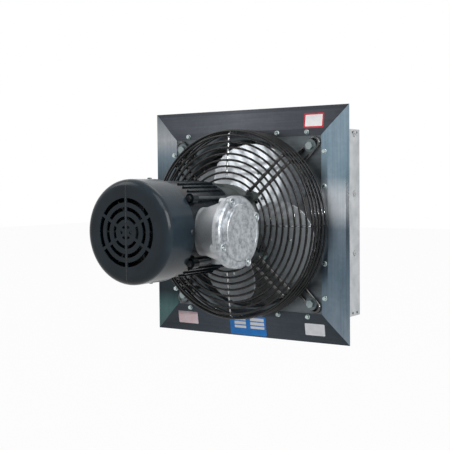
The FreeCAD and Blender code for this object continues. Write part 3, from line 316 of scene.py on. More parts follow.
def collar(inner, outer, height, rows=9, steps=36):
    """Low ring about z: a closed profile carried round a full circle. Across the ring the profile goes as the
    cosine of an angle b, and its height as a power of b's sine, which rounds the top."""
    middle, half = (inner + outer) / 2, (outer - inner) / 2
    b = np.linspace(0, math.pi, rows)[:, None]
    a = np.linspace(0, FULL_TURN, steps, endpoint=False)[None, :]
    reach = middle + half * np.cos(b)
    x, y = reach * np.cos(a), reach * np.sin(a)
    return hoop(np.stack([x, y, np.broadcast_to(height * np.sin(b) ** 0.7, x.shape)], axis=-1))


def arc_ridge(radius, start, stop, half_width, height, steps=40, sides=11):
    """Rounded bead along an arc about z, from one angle to another. Its cross-section is half an ellipse,
    which shrinks over the last few steps at each end as a quarter circle does."""
    a = np.radians(np.linspace(start, stop, steps))[:, None]
    b = np.linspace(0, math.pi, sides)[None, :]
    run = np.linspace(-1, 1, steps)[:, None]
    taper = half_width * 2 / (radius * math.radians(stop - start))
    beyond = np.clip((np.abs(run) - 1 + taper) / taper, 0, 1)
    swell = np.sqrt(1 - beyond ** 2) * 0.98 + 0.02
    reach = radius + half_width * swell * np.cos(b)
    level = height * swell * np.sin(b)
    return barrel(np.stack([reach * np.cos(a), reach * np.sin(a), level], axis=-1))


# Finishes

USUAL_RANGE = (0.3, 0.7)
WHOLE_RANGE = (0.0, 1.0)
EVENLY = (1, 1, 1)
ALONG_X = (0.03, 1, 1)
ALONG_Z = (1, 1, 0.03)
ALONG_AXLE = (1, 0.05, 1)
ACROSS_AXLE = (1, 30, 1)
PAINTED_LIGHT_SHARE = 0.7
PAINT_CLOUD = 40.0
PEEL_GRAIN = 0.6
PEEL_DEPTH = 0.012
PARTING_HALF = 0.7
PARTING_RISE = 0.35


def grey(level):
    """A grey of a linear level."""
    return (level, level, level)


class Finish:
    """A material being made: its main shader and the patterns, in Object coordinates, that feed it."""

    def __init__(self, name, colour, metallic, roughness, **sockets):
        self.material = bpy.data.materials.new(name)
        self.material.use_nodes = True
        self.tree = self.material.node_tree
        self.shader = self.tree.nodes["Principled BSDF"]
        self.shader.inputs["Base Color"].default_value = (*colour, 1)
        self.shader.inputs["Metallic"].default_value = metallic
        self.shader.inputs["Roughness"].default_value = roughness
        for socket, value in sockets.items():
            self.shader.inputs[socket.replace("_", " ")].default_value = value
        self.place = self.tree.nodes.new("ShaderNodeTexCoord").outputs["Object"]
        self.normal = None

    def link(self, source, target):
        """Joins an output to an input."""
        self.tree.links.new(source, target)

    def where(self, stretch):
        """Object coordinates stretched, so that a pattern gets longer along an axis with a small number."""
        mapping = self.tree.nodes.new("ShaderNodeMapping")
        mapping.inputs["Scale"].default_value = stretch
        self.link(self.place, mapping.inputs["Vector"])
        return mapping.outputs["Vector"]

    def noise(self, grain, stretch=EVENLY, detail=3.0, rough=0.5):
        """Cloudy pattern whose features are about a grain, in millimetres, across."""
        node = self.tree.nodes.new("ShaderNodeTexNoise")
        node.inputs["Scale"].default_value = 1 / (grain * MM)
        node.inputs["Detail"].default_value = detail
        node.inputs["Roughness"].default_value = rough
        self.link(self.where(stretch), node.inputs["Vector"])
        return node.outputs["Fac"]

    def cells(self, grain):
        """Crystals about a grain across, each with a tone of its own."""
        node = self.tree.nodes.new("ShaderNodeTexVoronoi")
        node.inputs["Scale"].default_value = 1 / (grain * MM)
        self.link(self.where(EVENLY), node.inputs["Vector"])
        split = self.tree.nodes.new("ShaderNodeSeparateColor")
        self.link(node.outputs["Color"], split.inputs["Color"])
        return split.outputs["Red"]

    def level(self, axis, low, high):
        """A number that goes from none to one along an axis, between two places in millimetres."""
        split = self.tree.nodes.new("ShaderNodeSeparateXYZ")
        self.link(self.place, split.inputs[0])
        return self.span(split.outputs[axis], 0, 1, (low * MM, high * MM))

    def ramp(self, factor, stops):
        """Colours at given places of a pattern's range."""
        node = self.tree.nodes.new("ShaderNodeValToRGB")
        elements = node.color_ramp.elements
        while len(elements) < len(stops):
            elements.new(0.5)
        for element, (place, colour) in zip(elements, stops):
            element.position = place
            element.color = (*colour, 1)
        self.link(factor, node.inputs["Fac"])
        return node.outputs["Color"]

    def between(self, factor, dark, light, reach=USUAL_RANGE):
        """Colour that goes from dark to light over a pattern's range."""
        return self.ramp(factor, list(zip(reach, (dark, light))))

    def span(self, factor, low, high, reach=USUAL_RANGE):
        """A number that goes from low to high over a pattern's range."""
        node = self.tree.nodes.new("ShaderNodeMapRange")
        node.inputs["From Min"].default_value, node.inputs["From Max"].default_value = reach
        node.inputs["To Min"].default_value = low
        node.inputs["To Max"].default_value = high
        self.link(factor, node.inputs["Value"])
        return node.outputs["Result"]

    def mixed(self, factor, first, second, kind="MIX"):
        """Two colours mixed by a factor, a number or a pattern."""
        node = self.tree.nodes.new("ShaderNodeMix")
        node.data_type = "RGBA"
        node.blend_type = kind
        sockets = (node.inputs["Factor"], node.inputs[6], node.inputs[7])
        for socket, value in zip(sockets, (factor, first, second)):
            if isinstance(value, (int, float)):
                socket.default_value = value
            else:
                self.link(value, socket)
        return node.outputs[2]

    def shaded(self, base, factor, share, dark, reach=USUAL_RANGE):
        """A colour multiplied, by a share, by a grey that goes from dark to white over a pattern's range."""
        return self.mixed(share, base, self.between(factor, grey(dark), grey(1.0), reach), "MULTIPLY")

    def bumped(self, height, depth):
        """Relief of a depth in millimetres, on top of any relief before it."""
        node = self.tree.nodes.new("ShaderNodeBump")
        node.inputs["Distance"].default_value = depth * MM
        self.link(height, node.inputs["Height"])
        if self.normal is not None:
            self.link(self.normal, node.inputs["Normal"])
        self.normal = node.outputs["Normal"]

    def wear(self, colour, roughness=None):
        """Ties the patterns to the shader and gives the material."""
        self.link(colour, self.shader.inputs["Base Color"])
        if roughness is not None:
            self.link(roughness, self.shader.inputs["Roughness"])
        if self.normal is not None:
            self.link(self.normal, self.shader.inputs["Normal"])
        return self.material


def rolled_sheet(name, tones, along, roughness, painted_light_bands=None):
    """Galvanised sheet: faint crystals, long streaks along the rolling direction and cloudy handling marks.
    Bands paint wide reflections and shade along the sheet's length, which the clouds make uneven."""
    dark, middle, light = tones
    finish = Finish(name, middle, 1.0, roughness)
    streaks = finish.noise(grain=3.0, stretch=along, detail=4)
    clouds = finish.noise(grain=55.0, stretch=tuple(0.4 + 0.6 * share for share in along))
    crystals = finish.cells(grain=6.0)
    base = finish.ramp(clouds, [(0.3, dark), (0.5, middle), (0.7, light)])
    # Painted light: wide bands of painted reflection and painted shade along the strip, mixed into the
    # sheet's tone.
    if painted_light_bands:
        axis, stops = painted_light_bands
        wide = finish.ramp(finish.level(axis, -HALF_PANEL, HALF_PANEL), stops)
        base = finish.mixed(PAINTED_LIGHT_SHARE, base, wide)
    lined = finish.shaded(base, streaks, share=0.35, dark=0.55)
    spangled = finish.shaded(lined, crystals, share=0.22, dark=0.65, reach=WHOLE_RANGE)
    finish.bumped(streaks, depth=0.02)
    return finish.wear(spangled, finish.span(clouds, roughness - 0.08, roughness + 0.1))


def smooth_paint(name, dark, light, roughness, **sockets):
    """Sprayed paint: the orange-peel relief of a spray gun, with slight changes of tone and gloss."""
    finish = Finish(name, light, 0.0, roughness, **sockets)
    clouds = finish.noise(PAINT_CLOUD, detail=4)
    finish.bumped(finish.noise(PEEL_GRAIN, detail=1), PEEL_DEPTH)
    colour = finish.between(clouds, dark, light)
    return finish.wear(colour, finish.span(clouds, roughness - 0.05, roughness + 0.07))


def parted_paint(name, dark, light, roughness):
    """Sprayed paint over a moulding with a parting line: a low ridge, lighter in colour, stands up where x is
    near the middle."""
    finish = Finish(name, light, 0.0, roughness, Specular_IOR_Level=0.22)
    clouds = finish.noise(PAINT_CLOUD, detail=4)
    finish.bumped(finish.noise(PEEL_GRAIN, detail=1), PEEL_DEPTH)
    left = finish.level("X", -PARTING_HALF, -PARTING_HALF / 2)
    right = finish.level("X", PARTING_HALF, PARTING_HALF / 2)
    ridge = finish.mixed(1.0, left, right, "MULTIPLY")
    finish.bumped(ridge, PARTING_RISE)
    colour = finish.between(clouds, dark, light)
    # The ridge takes a lighter grey than the paint round it.
    lighter_ridge = finish.mixed(ridge, colour, finish.between(clouds, grey(0.06), grey(0.1)))
    return finish.wear(lighter_ridge, finish.span(clouds, roughness - 0.05, roughness + 0.07))


def satin_sheet(name, dark, light, roughness):
    """Satin aluminium sheet under a matt film, with faint long scuffs."""
    finish = Finish(name, light, 0.0, roughness, Specular_IOR_Level=0.2)
    clouds = finish.noise(grain=45.0)
    scuffs = finish.noise(grain=6.0, stretch=(0.3, 1, 0.3))
    tone = finish.between(clouds, dark, light)
    scuffed = finish.shaded(tone, scuffs, share=0.2, dark=0.75, reach=(0.35, 0.65))
    return finish.wear(scuffed, finish.span(scuffs, roughness - 0.06, roughness + 0.08))


def sand_cast(name, dark, light, roughness, grain=0.9, depth=0.12, metallic=1.0):
    """Cast aluminium: a sandy skin of small pits, whose hollows are darkened by painted shade."""
    finish = Finish(name, light, metallic, roughness)
    sand = finish.noise(grain, detail=4, rough=0.65)
    clouds = finish.noise(grain=18.0)
    finish.bumped(sand, depth)
    # Painted shade: the same sand that makes the pits darkens their hollows.
    tone = finish.between(sand, dark, light, reach=(0.32, 0.62))
    mottled = finish.shaded(tone, clouds, share=0.3, dark=0.6)
    return finish.wear(mottled, finish.span(sand, roughness + 0.1, roughness - 0.1))


def drawn_metal(name, dark, light, roughness, along=EVENLY, grain=1.0):
    """Plain metal with fine lines along one direction and a faint change of tone."""
    finish = Finish(name, light, 1.0, roughness)
    lines = finish.noise(grain, along)
    clouds = finish.noise(grain=25.0)
    finish.bumped(lines, depth=0.01)
    tone = finish.between(clouds, dark, light)
    return finish.wear(tone, finish.span(lines, roughness - 0.06, roughness + 0.08))


def moulded(name, dark, light, roughness):
    """Moulded plastic: a fine matt grain."""
    finish = Finish(name, light, 0.0, roughness)
    clouds = finish.noise(grain=20.0)
    finish.bumped(finish.noise(grain=0.5, detail=2), depth=0.015)
    return finish.wear(finish.between(clouds, dark, light))


def film(name, dark, light):
    """Bare sticker film: nearly flat colour with a faint cloud and a soft gloss."""
    finish = Finish(name, light, 0.0, 0.35)
    clouds = finish.noise(grain=9.0)
    finish.bumped(finish.noise(grain=2.0, detail=2), depth=0.02)
    return finish.wear(finish.between(clouds, dark, light), finish.span(clouds, 0.3, 0.45))


# Painted light: the four flange strips are one galvanised sheet, darkened or lightened by how light falls on
# each. The top and bottom strips are dark with painted shade, and the left and right strips carry bands of
# painted reflection and painted shade.
top_strip_painted_light = rolled_sheet(
    "galvanised_top_strip_painted_light", [(0.04, 0.044, 0.053), (0.06, 0.065, 0.077), (0.09, 0.096, 0.108)],
    ALONG_X, 0.36,
    ("X", [(0.0, (0.045, 0.05, 0.062)), (0.45, (0.12, 0.13, 0.148)), (0.75, (0.075, 0.082, 0.095)),
           (1.0, (0.05, 0.056, 0.064))]))
bottom_strip_painted_light = rolled_sheet(
    "galvanised_bottom_strip_painted_light", [(0.026, 0.031, 0.038), (0.04, 0.047, 0.056), (0.06, 0.069, 0.079)],
    ALONG_X, 0.36,
    ("X", [(0.0, (0.03, 0.036, 0.044)), (0.5, (0.07, 0.084, 0.1)), (1.0, (0.04, 0.048, 0.056))]))
right_strip_painted_light = rolled_sheet(
    "galvanised_right_strip_painted_light", [(0.15, 0.2, 0.245), (0.23, 0.295, 0.35), (0.4, 0.46, 0.52)],
    ALONG_Z, 0.3,
    ("Z", [(0.0, (0.14, 0.18, 0.22)), (0.3, (0.07, 0.11, 0.145)), (0.48, (0.15, 0.2, 0.25)),
           (0.56, (0.82, 0.86, 0.9)), (0.63, (0.74, 0.78, 0.82)), (0.7, (0.2, 0.3, 0.37)),
           (1.0, (0.24, 0.33, 0.4))]))
left_strip_painted_light = rolled_sheet(
    "galvanised_left_strip_painted_light", [(0.03, 0.042, 0.048), (0.045, 0.06, 0.068), (0.09, 0.11, 0.12)],
    ALONG_Z, 0.3,
    ("Z", [(0.0, (0.085, 0.14, 0.14)), (0.1, (0.08, 0.16, 0.16)), (0.18, (0.016, 0.022, 0.028)),
           (0.66, (0.03, 0.04, 0.05)), (0.8, (0.2, 0.265, 0.32)), (0.88, (0.48, 0.5, 0.53)),
           (1.0, (0.21, 0.245, 0.27))]))
# Painted shade: the housing's galvanised sheet is far darker than bare zinc, for the shade behind the guard
# and inside the throat.
housing_painted_shade = rolled_sheet(
    "galvanised_housing_painted_shade", [(0.08, 0.095, 0.105), (0.12, 0.14, 0.152), (0.18, 0.205, 0.22)], ALONG_X, 0.38)
shutter_sheet = drawn_metal(
    "shutter_aluminium", (0.39, 0.41, 0.43), (0.53, 0.545, 0.56), 0.42, ALONG_Z, grain=1.2)
louver_sheet = drawn_metal(
    "louver_aluminium", (0.42, 0.43, 0.44), (0.56, 0.56, 0.57), 0.52, ALONG_X, grain=1.2)
guard_paint = smooth_paint(
    "guard_black", (0.002, 0.0023, 0.0026), (0.005, 0.0056, 0.006), 0.12, Specular_IOR_Level=0.3)
arm_paint = smooth_paint(
    "arm_black", (0.004, 0.0043, 0.0046), (0.008, 0.0086, 0.009), 0.1, Specular_IOR_Level=0.9)
# Painted glint: the cross wires get a light metal colour that stands for glints on black wire.
cross_wire_painted_glint = drawn_metal("cross_wire_painted_glint", (0.24, 0.25, 0.26), (0.4, 0.41, 0.42), 0.2)
motor_paint = smooth_paint(
    "motor_paint", (0.004, 0.0068, 0.0092), (0.0068, 0.0108, 0.014), 0.24, Specular_IOR_Level=0.2)
cowl_paint = parted_paint("cowl_paint", (0.01, 0.019, 0.027), (0.018, 0.033, 0.046), 0.2)
bell_paint = smooth_paint("bell_paint", (0.018, 0.023, 0.023), (0.034, 0.041, 0.04), 0.4)
zinc = drawn_metal("zinc_plate", (0.3, 0.36, 0.36), (0.55, 0.63, 0.63), 0.22)
bolt_zinc = drawn_metal("bolt_zinc", (0.15, 0.185, 0.19), (0.3, 0.35, 0.355), 0.26)
washer_zinc = drawn_metal("washer_zinc", (0.08, 0.1, 0.11), (0.15, 0.18, 0.19), 0.36)
dark_zinc = drawn_metal("dark_zinc", (0.06, 0.066, 0.07), (0.11, 0.12, 0.125), 0.36, ALONG_AXLE)
box_cast = sand_cast("cast_aluminium", (0.38, 0.4, 0.42), (0.62, 0.645, 0.67), 0.42, metallic=0.45)
cover_cast = sand_cast(
    "cover_aluminium", (0.22, 0.238, 0.256), (0.47, 0.5, 0.53), 0.42, grain=8.0, depth=0.7)
blade_sheet = satin_sheet("blade_aluminium", (0.7, 0.74, 0.78), (0.78, 0.82, 0.86), 0.36)
hub_cast = sand_cast("hub_aluminium", (0.2, 0.2, 0.205), (0.45, 0.45, 0.455), 0.4, grain=0.8, depth=0.06)
shaft_steel = drawn_metal("shaft_steel", (0.3, 0.3, 0.31), (0.5, 0.5, 0.51), 0.25, ALONG_AXLE, grain=0.8)
bearing_steel = drawn_metal("bearing_steel", (0.4, 0.4, 0.41), (0.6, 0.6, 0.61), 0.18, grain=0.8)
core_steel = drawn_metal("core_steel", (0.12, 0.12, 0.13), (0.2, 0.2, 0.21), 0.45, ACROSS_AXLE, grain=8.0)
copper = drawn_metal("copper_wire", (0.3, 0.1, 0.04), (0.5, 0.19, 0.08), 0.35, grain=0.8)
white_nylon = moulded("white_nylon", (0.62, 0.61, 0.58), (0.72, 0.71, 0.68), 0.45)
grey_nylon = moulded("grey_nylon", (0.4, 0.41, 0.42), (0.48, 0.49, 0.5), 0.45)
dark_plastic = moulded("black_plastic", (0.01, 0.01, 0.011), (0.022, 0.022, 0.023), 0.45)
white_film = film("white_film", (0.8, 0.8, 0.8), (0.88, 0.88, 0.88))
red_film = film("red_film", (0.5, 0.012, 0.03), (0.6, 0.02, 0.045))
pink_film = film("pink_film", (0.92, 0.68, 0.72), (0.96, 0.82, 0.85))
blue_film = film("blue_film", (0.0, 0.16, 0.52), (0.005, 0.22, 0.66))
grey_film = film("grey_film", (0.7, 0.71, 0.75), (0.8, 0.81, 0.85))

SLOT_FINISHES = {
    "galvanised": housing_painted_shade,
    "shutter_aluminium": shutter_sheet,
    "white_nylon": white_nylon,
    "guard_black": guard_paint,
    "zinc_plate": zinc,
    "motor_paint": motor_paint,
    "bell_paint": bell_paint,
    "core_steel": core_steel,
    "copper_wire": copper,
    "bearing_steel": bearing_steel,
    "cast_aluminium": box_cast,
    "shaft_steel": shaft_steel,
    "black_plastic": dark_plastic,
    "blade_aluminium": blade_sheet,
    "hub_aluminium": hub_cast,
}
NODE_FINISHES = {
    "flange_top": top_strip_painted_light,
    "flange_bottom": bottom_strip_painted_light,
    "flange_left": left_strip_painted_light,
    "flange_right": right_strip_painted_light,
    "louver_1": louver_sheet,
    "louver_2": louver_sheet,
    "louver_3": louver_sheet,
    "fan_cowl": cowl_paint,
    "conduit_cover": cover_cast,
    "foot_washers": washer_zinc,
    "foot_bolts": bolt_zinc,
    "through_bolts": dark_zinc,
    "pivot_bushes": grey_nylon,
}


def paint_nodes():
    """Each node of the part takes the finish of its record slot, or one of its own."""
    slot_of = {part["node"]: part["material_slot"] for part in frame["record"]["subparts"]}
    for name, node in frame["nodes"].items():
        finish = NODE_FINISHES.get(name) or SLOT_FINISHES[slot_of[name]]
        node.data.materials.clear()
        node.data.materials.append(finish)


paint_nodes()

# Wire guard and motor arms

LEAN = np.array([0.5, -0.6, 0.62])
ARM_SIDES = 16
LOOP_MARGIN = 0.05
INNER_RING = FRONT_RING_OUTER - RING_PITCH * (FRONT_RINGS - 1)
BASE_RING = ARM_FOOT + ARM_BEND + RING_WIRE / 2
RIM_RING = GUARD_RADIUS - RING_WIRE * 0.75
RIM_RING_HEIGHT = ARM_RIM + RING_WIRE / 4


def guard_face_rings():
    """Rings of the guard's face, at an even pitch: each lies on the arm wires, as far out as they are at its
    radius."""
    rings = []
    for index in range(FRONT_RINGS):
        radius = FRONT_RING_OUTER - RING_PITCH * index
        rings.append(ring_wire(radius, face_height(radius) + ARM_WIRE + RING_WIRE + SEAT_GAP, RING_WIRE))
    piece("guard_face_rings", rings, "housing", guard_paint,
          ["guard_front_rings", "guard_middle_ring_1", "guard_middle_ring_2"])


def guard_rim_rings():
    """The rim ring, where the guard's side turns into its face, and the side's rings at an even pitch."""
    rings = [ring_wire(RIM_RING, RIM_RING_HEIGHT, RING_WIRE)]
    for index in range(SIDE_RINGS):
        rings.append(ring_wire(GUARD_RADIUS, BASE_RING + SIDE_RING_GAP * index, RING_WIRE))
    piece("guard_rim_rings", rings, "housing", guard_paint, ["guard_side_rings"])


def guard_cross_wires():
    """Thin wires from the innermost ring over the guard's face and along its side, one each quarter turn."""
    lift = ARM_WIRE - RADIAL_WIRE
    side = GUARD_RADIUS - RING_WIRE - RADIAL_WIRE - SEAT_GAP
    start = INNER_RING - RING_WIRE
    path = bent_path([
        (start, -(face_height(start) + lift), 0),
        (side, -(face_height(side) + lift), 0),
        (side, -RADIAL_FOOT, 0),
    ], [RADIAL_BEND])
    wires = []
    for angle in QUARTERS:
        wires.append(wire_along(about_axle(path, angle), RADIAL_WIRE, about_axle(LEAN, angle)))
    piece("guard_cross_wires", wires, "housing", cross_wire_painted_glint, ["guard_radials"])


def motor_arms():
    """Four arms, each one wire: out from the motor, round a loop at the flange, and back beside itself."""
    half_spread = ARM_SPREAD / 2
    run = [
        (ARM_START, ARM_FACE),
        (ARM_KINK, ARM_FACE),
        (ARM_SIDE, ARM_RIM),
        (ARM_SIDE, ARM_FOOT),
        (ARM_END, ARM_FOOT),
    ]
    out_run = [(radius, -height, half_spread) for radius, height in run]
    back_run = [(radius, -height, -half_spread) for radius, height in reversed(run)]
    out_bends = [ARM_KINK_BEND, ARM_BEND, ARM_BEND, half_spread - LOOP_MARGIN]
    path = bent_path(out_run + back_run, out_bends + out_bends[::-1])
    for index, angle in enumerate(DIAGONALS, start=1):
        arm = wire_along(about_axle(path, angle), ARM_WIRE, about_axle(LEAN, angle), ARM_SIDES)
        piece(f"arm_wire_{index}", [arm], "housing", arm_paint, [f"motor_arm_{index}"])


guard_face_rings()
guard_rim_rings()
guard_cross_wires()
motor_arms()

# Small fasteners, and the cover's collars and ridges

OUT_FRONT = [(1, 0, 0), (0, 0, 1), (0, -1, 0)]
OUT_RIGHT = [(0, 1, 0), (0, 0, 1), (1, 0, 0)]
FRAME_WALLS = ((1, 0, 0), (-1, 0, 0), (0, 0, 1), (0, 0, -1))
SUNK = 0.1
SCREW_LINE = 168.75
SCREW_SPOTS = (-133, -70, 70, 133)
FRAME_RIVET_SPOTS = (-110, 110)
FRAME_RIVET_DEPTH = 56
CORNER_RIVET_LINE = 170.5
CORNER_RIVET_DEPTHS = (91, 108)
COWL_SCREW_DEPTH = -297
BLADE_RIVET_SPOTS = ((55.7, -9.8), (99.9, 9.1))
RAY_START = -200


def flange_screws():
    """Hexagon screws on the flat seats of the flange strips, four on each strip."""
    screw = hex_head(flats=6.4, height=3.4, washer=4.6, washer_sheet=0.9)
    screws = []
    for along in SCREW_SPOTS:
        for side in (-SCREW_LINE, SCREW_LINE):
            screws.append(moved(screw, OUT_FRONT, (along, STRIP_SEAT_FRONT, side)))
            screws.append(moved(screw, OUT_FRONT, (side, STRIP_SEAT_FRONT, along)))
    piece("flange_screws", screws, "housing", zinc)


def frame_rivets():
    """Two rivets on each wall of the shutter frame."""
    rivet = dome(radius=3.2, height=1.4)
    rivets = []
    for wall in FRAME_WALLS:
        outwards = np.array(wall, float)
        across = np.cross(outwards, (0, 1, 0))
        for along in FRAME_RIVET_SPOTS:
            place = outwards * FRAME_OUTSIDE + across * along + (0, FRAME_RIVET_DEPTH, 0)
            rivets.append(moved(rivet, [across, (0, 1, 0), outwards], place))
    piece("frame_rivets", rivets, "housing", shutter_sheet)


def corner_rivets():
    """Two small rivets at the top and at the bottom of the shutter frame's left and right walls."""
    rivet = dome(radius=2.4, height=1.2)
    rivets = []
    for side in (-1, 1):
        axes = [(0, 0, 1), (0, 1, 0), (side, 0, 0)]
        for height in (-CORNER_RIVET_LINE, CORNER_RIVET_LINE):
            for depth in CORNER_RIVET_DEPTHS:
                rivets.append(moved(rivet, axes, (side * FRAME_OUTSIDE, depth, height)))
    piece("corner_rivets", rivets, "housing", dark_zinc)


def cowl_screws():
    """Pan screws round the cowl, one each quarter turn."""
    screw = pan_head(radius=3.6, height=2.2)
    screws = []
    for angle in QUARTERS:
        outwards = about_axle(np.array([1.0, 0, 0]), angle)
        axes = [np.cross((0, 1, 0), outwards), (0, 1, 0), outwards]
        screws.append(moved(screw, axes, outwards * (COWL_RADIUS - SUNK) + (0, COWL_SCREW_DEPTH, 0)))
    piece("cowl_screws", screws, "housing", dark_zinc)


def cover_lugs():
    """A pan screw, and the raised collar round it, on each lug of the conduit cover."""
    screw = pan_head(radius=3.6, height=2.4)
    lug_collar = collar(inner=4.6, outer=8.0, height=2.2)
    middle_along, middle_up = BOX_AXIS
    screws = []
    collars = []
    for angle in LUG_ANGLES:
        turn = math.radians(angle)
        along = middle_along + LUG_REACH * math.cos(turn)
        up = middle_up + LUG_REACH * math.sin(turn)
        place = (COVER_FACE - SUNK, along, up)
        screws.append(moved(screw, OUT_RIGHT, place))
        collars.append(moved(lug_collar, OUT_RIGHT, place))
    piece("cover_screws", screws, "housing", zinc)
    piece("cover_lug_collars", collars, "housing", cover_cast)


def cover_ridges():
    """Two cast beads on the crown of the conduit cover: a broad bar and a narrow edge."""
    bar = arc_ridge(radius=42.0, start=118, stop=200, half_width=3.0, height=2.4)
    edge = arc_ridge(radius=44.2, start=-30, stop=95, half_width=1.6, height=1.2)
    ridges = [moved(ridge, OUT_RIGHT, (COVER_CROWN - SUNK, *BOX_AXIS)) for ridge in (bar, edge)]
    piece("cover_ridges", ridges, "housing", cover_cast)


def blade_front(along, across):
    """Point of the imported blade's front, and the direction it faces, that far along and across the blade's
    middle line: where a line parallel to the axle first meets the blade."""
    start = about_axle(np.array([along, RAY_START, across]), BLADE_MIDDLE) * MM
    _, place, facing, _ = frame["nodes"]["blade_4"].ray_cast(start, (0, 1, 0))
    return np.array(place) / MM, np.array(facing)


def blade_rivets():
    """Two rivets on each blade, square to its front: those of one blade, turned by quarters to the others."""
    rivet = dome(radius=3.4, height=1.5)
    seats = [blade_front(*spot) for spot in BLADE_RIVET_SPOTS]
    rivets = []
    for turn in QUARTERS:
        for seat, facing in seats:
            outwards = about_axle(facing, turn)
            across = np.cross(outwards, (0, 1, 0))
            across /= np.linalg.norm(across)
            axes = [across, np.cross(outwards, across), outwards]
            rivets.append(moved(rivet, axes, about_axle(seat, turn)))
    piece("blade_rivets", rivets, "rotor", zinc)


flange_screws()
frame_rivets()
corner_rivets()
cowl_screws()
cover_lugs()
cover_ridges()
blade_rivets()

# Bare stickers on the flange strips, each given by its left, right, low and high edge

FILM_FRONT = 0.12
UPPER_FILM_FRONT = 0.2
FILM_BACK = 0.02
RED_EDGE = (126, 167, 176, 203)
RED_FACE = (129, 164, 179, 200)
PINK = (-164, -117, -201, -177)
BLUE = (-40.5, 41, -214, -176.5)
BLUE_COLUMNS = ((-30, -4), (6, 37))
BLUE_ROWS = ((-186, -180), (-194, -188), (-201, -196))
GREY = (126, 167, -203, -181)


def strip_level(distance):
    """Front of a flange strip at a distance from the fan's centre line: flat seat, slope, flat rim."""
    fronts = (STRIP_SEAT_FRONT, STRIP_SEAT_FRONT, STRIP_RIM_FRONT, STRIP_RIM_FRONT)
    return np.interp(distance, STRIP_SEAT + STRIP_RIM, fronts)


def sticker(left, right, low, high, lift, corner=1.6, rows=14, columns=12):
    """Thin sheet that follows the strip's slope. Its half width at each height is full, less a quarter circle
    at the corners; the outline runs over the front from left to right and back underneath."""
    middle, half = (left + right) / 2, (right - left) / 2
    spread = np.linspace(-1, 1, rows)
    height = (low + high) / 2 + (high - low) / 2 * np.sin(spread * math.pi / 2)
    over = np.clip(corner - np.minimum(height - low, high - height), 0, corner)
    reach = half - corner + np.sqrt(np.maximum(corner ** 2 - over ** 2, 0.0))
    across = np.linspace(-1, 1, columns)
    run = np.concatenate([across, across[::-1]])
    above = np.concatenate([np.full(columns, lift), np.full(columns, FILM_BACK)])
    x = middle + reach[:, None] * run[None, :]
    y = strip_level(np.abs(height))[:, None] - above[None, :]
    z = np.broadcast_to(height[:, None], x.shape)
    return barrel(np.stack([x, y, z], axis=-1))


def stuck(name, films, finish):
    """One sticker, or the plain blocks on one, as a piece on the flange strips."""
    piece(name, films, "housing", finish)


blue_blocks = []
for column in BLUE_COLUMNS:
    for row in BLUE_ROWS:
        blue_blocks.append(sticker(*column, *row, UPPER_FILM_FRONT, corner=0.6))
stuck("red_sticker_edge", [sticker(*RED_EDGE, FILM_FRONT)], red_film)
stuck("red_sticker_face", [sticker(*RED_FACE, UPPER_FILM_FRONT, corner=0.8)], white_film)
stuck("pink_sticker", [sticker(*PINK, FILM_FRONT)], pink_film)
stuck("blue_sticker", [sticker(*BLUE, FILM_FRONT, corner=2.5)], blue_film)
stuck("blue_sticker_blocks", blue_blocks, white_film)
stuck("grey_sticker", [sticker(*GREY, FILM_FRONT)], grey_film)

# Floor, light and camera, in metres and degrees

FLOOR_HALF = 4.0
FLOOR_DROP = 0.0005
FLOOR_TONE = 0.35
FLOOR_ROUGHNESS = 0.9
FLOOR_WHITE = 0.97
ROOM_TINT = (0.95, 0.97, 1.0, 1)
ROOM_LIGHT = 0.11
SPOT_EDGE = 0.5
SPOT_RADIUS = 0.08
VIEW_AZIMUTH = 34.304
VIEW_ELEVATION = 2.553
VIEW_ROLL = -0.531
VIEW_PLACE = (0.9904, -1.5292, 0.0787)
FOCAL_PIXELS = 955.27
PHOTO_PIXELS = 450
SENSOR_WIDTH = 36


def seen_rays(tree):
    """One for rays from the camera and for those that metal or glass send on, none for the rest."""
    path = tree.nodes.new("ShaderNodeLightPath")
    total = path.outputs["Is Camera Ray"]
    for ray in ("Is Glossy Ray", "Is Transmission Ray"):
        add = tree.nodes.new("ShaderNodeMath")
        add.operation = "ADD"
        add.use_clamp = True
        tree.links.new(total, add.inputs[0])
        tree.links.new(path.outputs[ray], add.inputs[1])
        total = add.outputs[0]
    return total


def pale_floor():
    """Level sheet under the fan, nearly white to the camera, which keeps the fan's shadow."""
    half, level = FLOOR_HALF, cad_low.z - FLOOR_DROP
    corners = [(-half, -half, level), (half, -half, level), (half, half, level), (-half, half, level)]
    mesh = bpy.data.meshes.new("floor")
    mesh.from_pydata(corners, [], [(0, 1, 2, 3)])
    material = bpy.data.materials.new("pale_floor")
    material.use_nodes = True
    tree = material.node_tree
    shader = tree.nodes["Principled BSDF"]
    shader.inputs["Base Color"].default_value = (*grey(FLOOR_TONE), 1)
    shader.inputs["Roughness"].default_value = FLOOR_ROUGHNESS
    shader.inputs["Specular IOR Level"].default_value = 0.0
    glow = tree.nodes.new("ShaderNodeEmission")
    mix = tree.nodes.new("ShaderNodeMixShader")
    share = tree.nodes.new("ShaderNodeMath")
    share.operation = "MULTIPLY"
    share.inputs[1].default_value = FLOOR_WHITE
    tree.links.new(seen_rays(tree), share.inputs[0])
    tree.links.new(share.outputs[0], mix.inputs["Fac"])
    tree.links.new(shader.outputs[0], mix.inputs[1])
    tree.links.new(glow.outputs[0], mix.inputs[2])
    tree.links.new(mix.outputs[0], tree.nodes["Material Output"].inputs["Surface"])
    floor = bpy.data.objects.new("floor", mesh)
    mesh.materials.append(material)
    bpy.context.scene.collection.objects.link(floor)


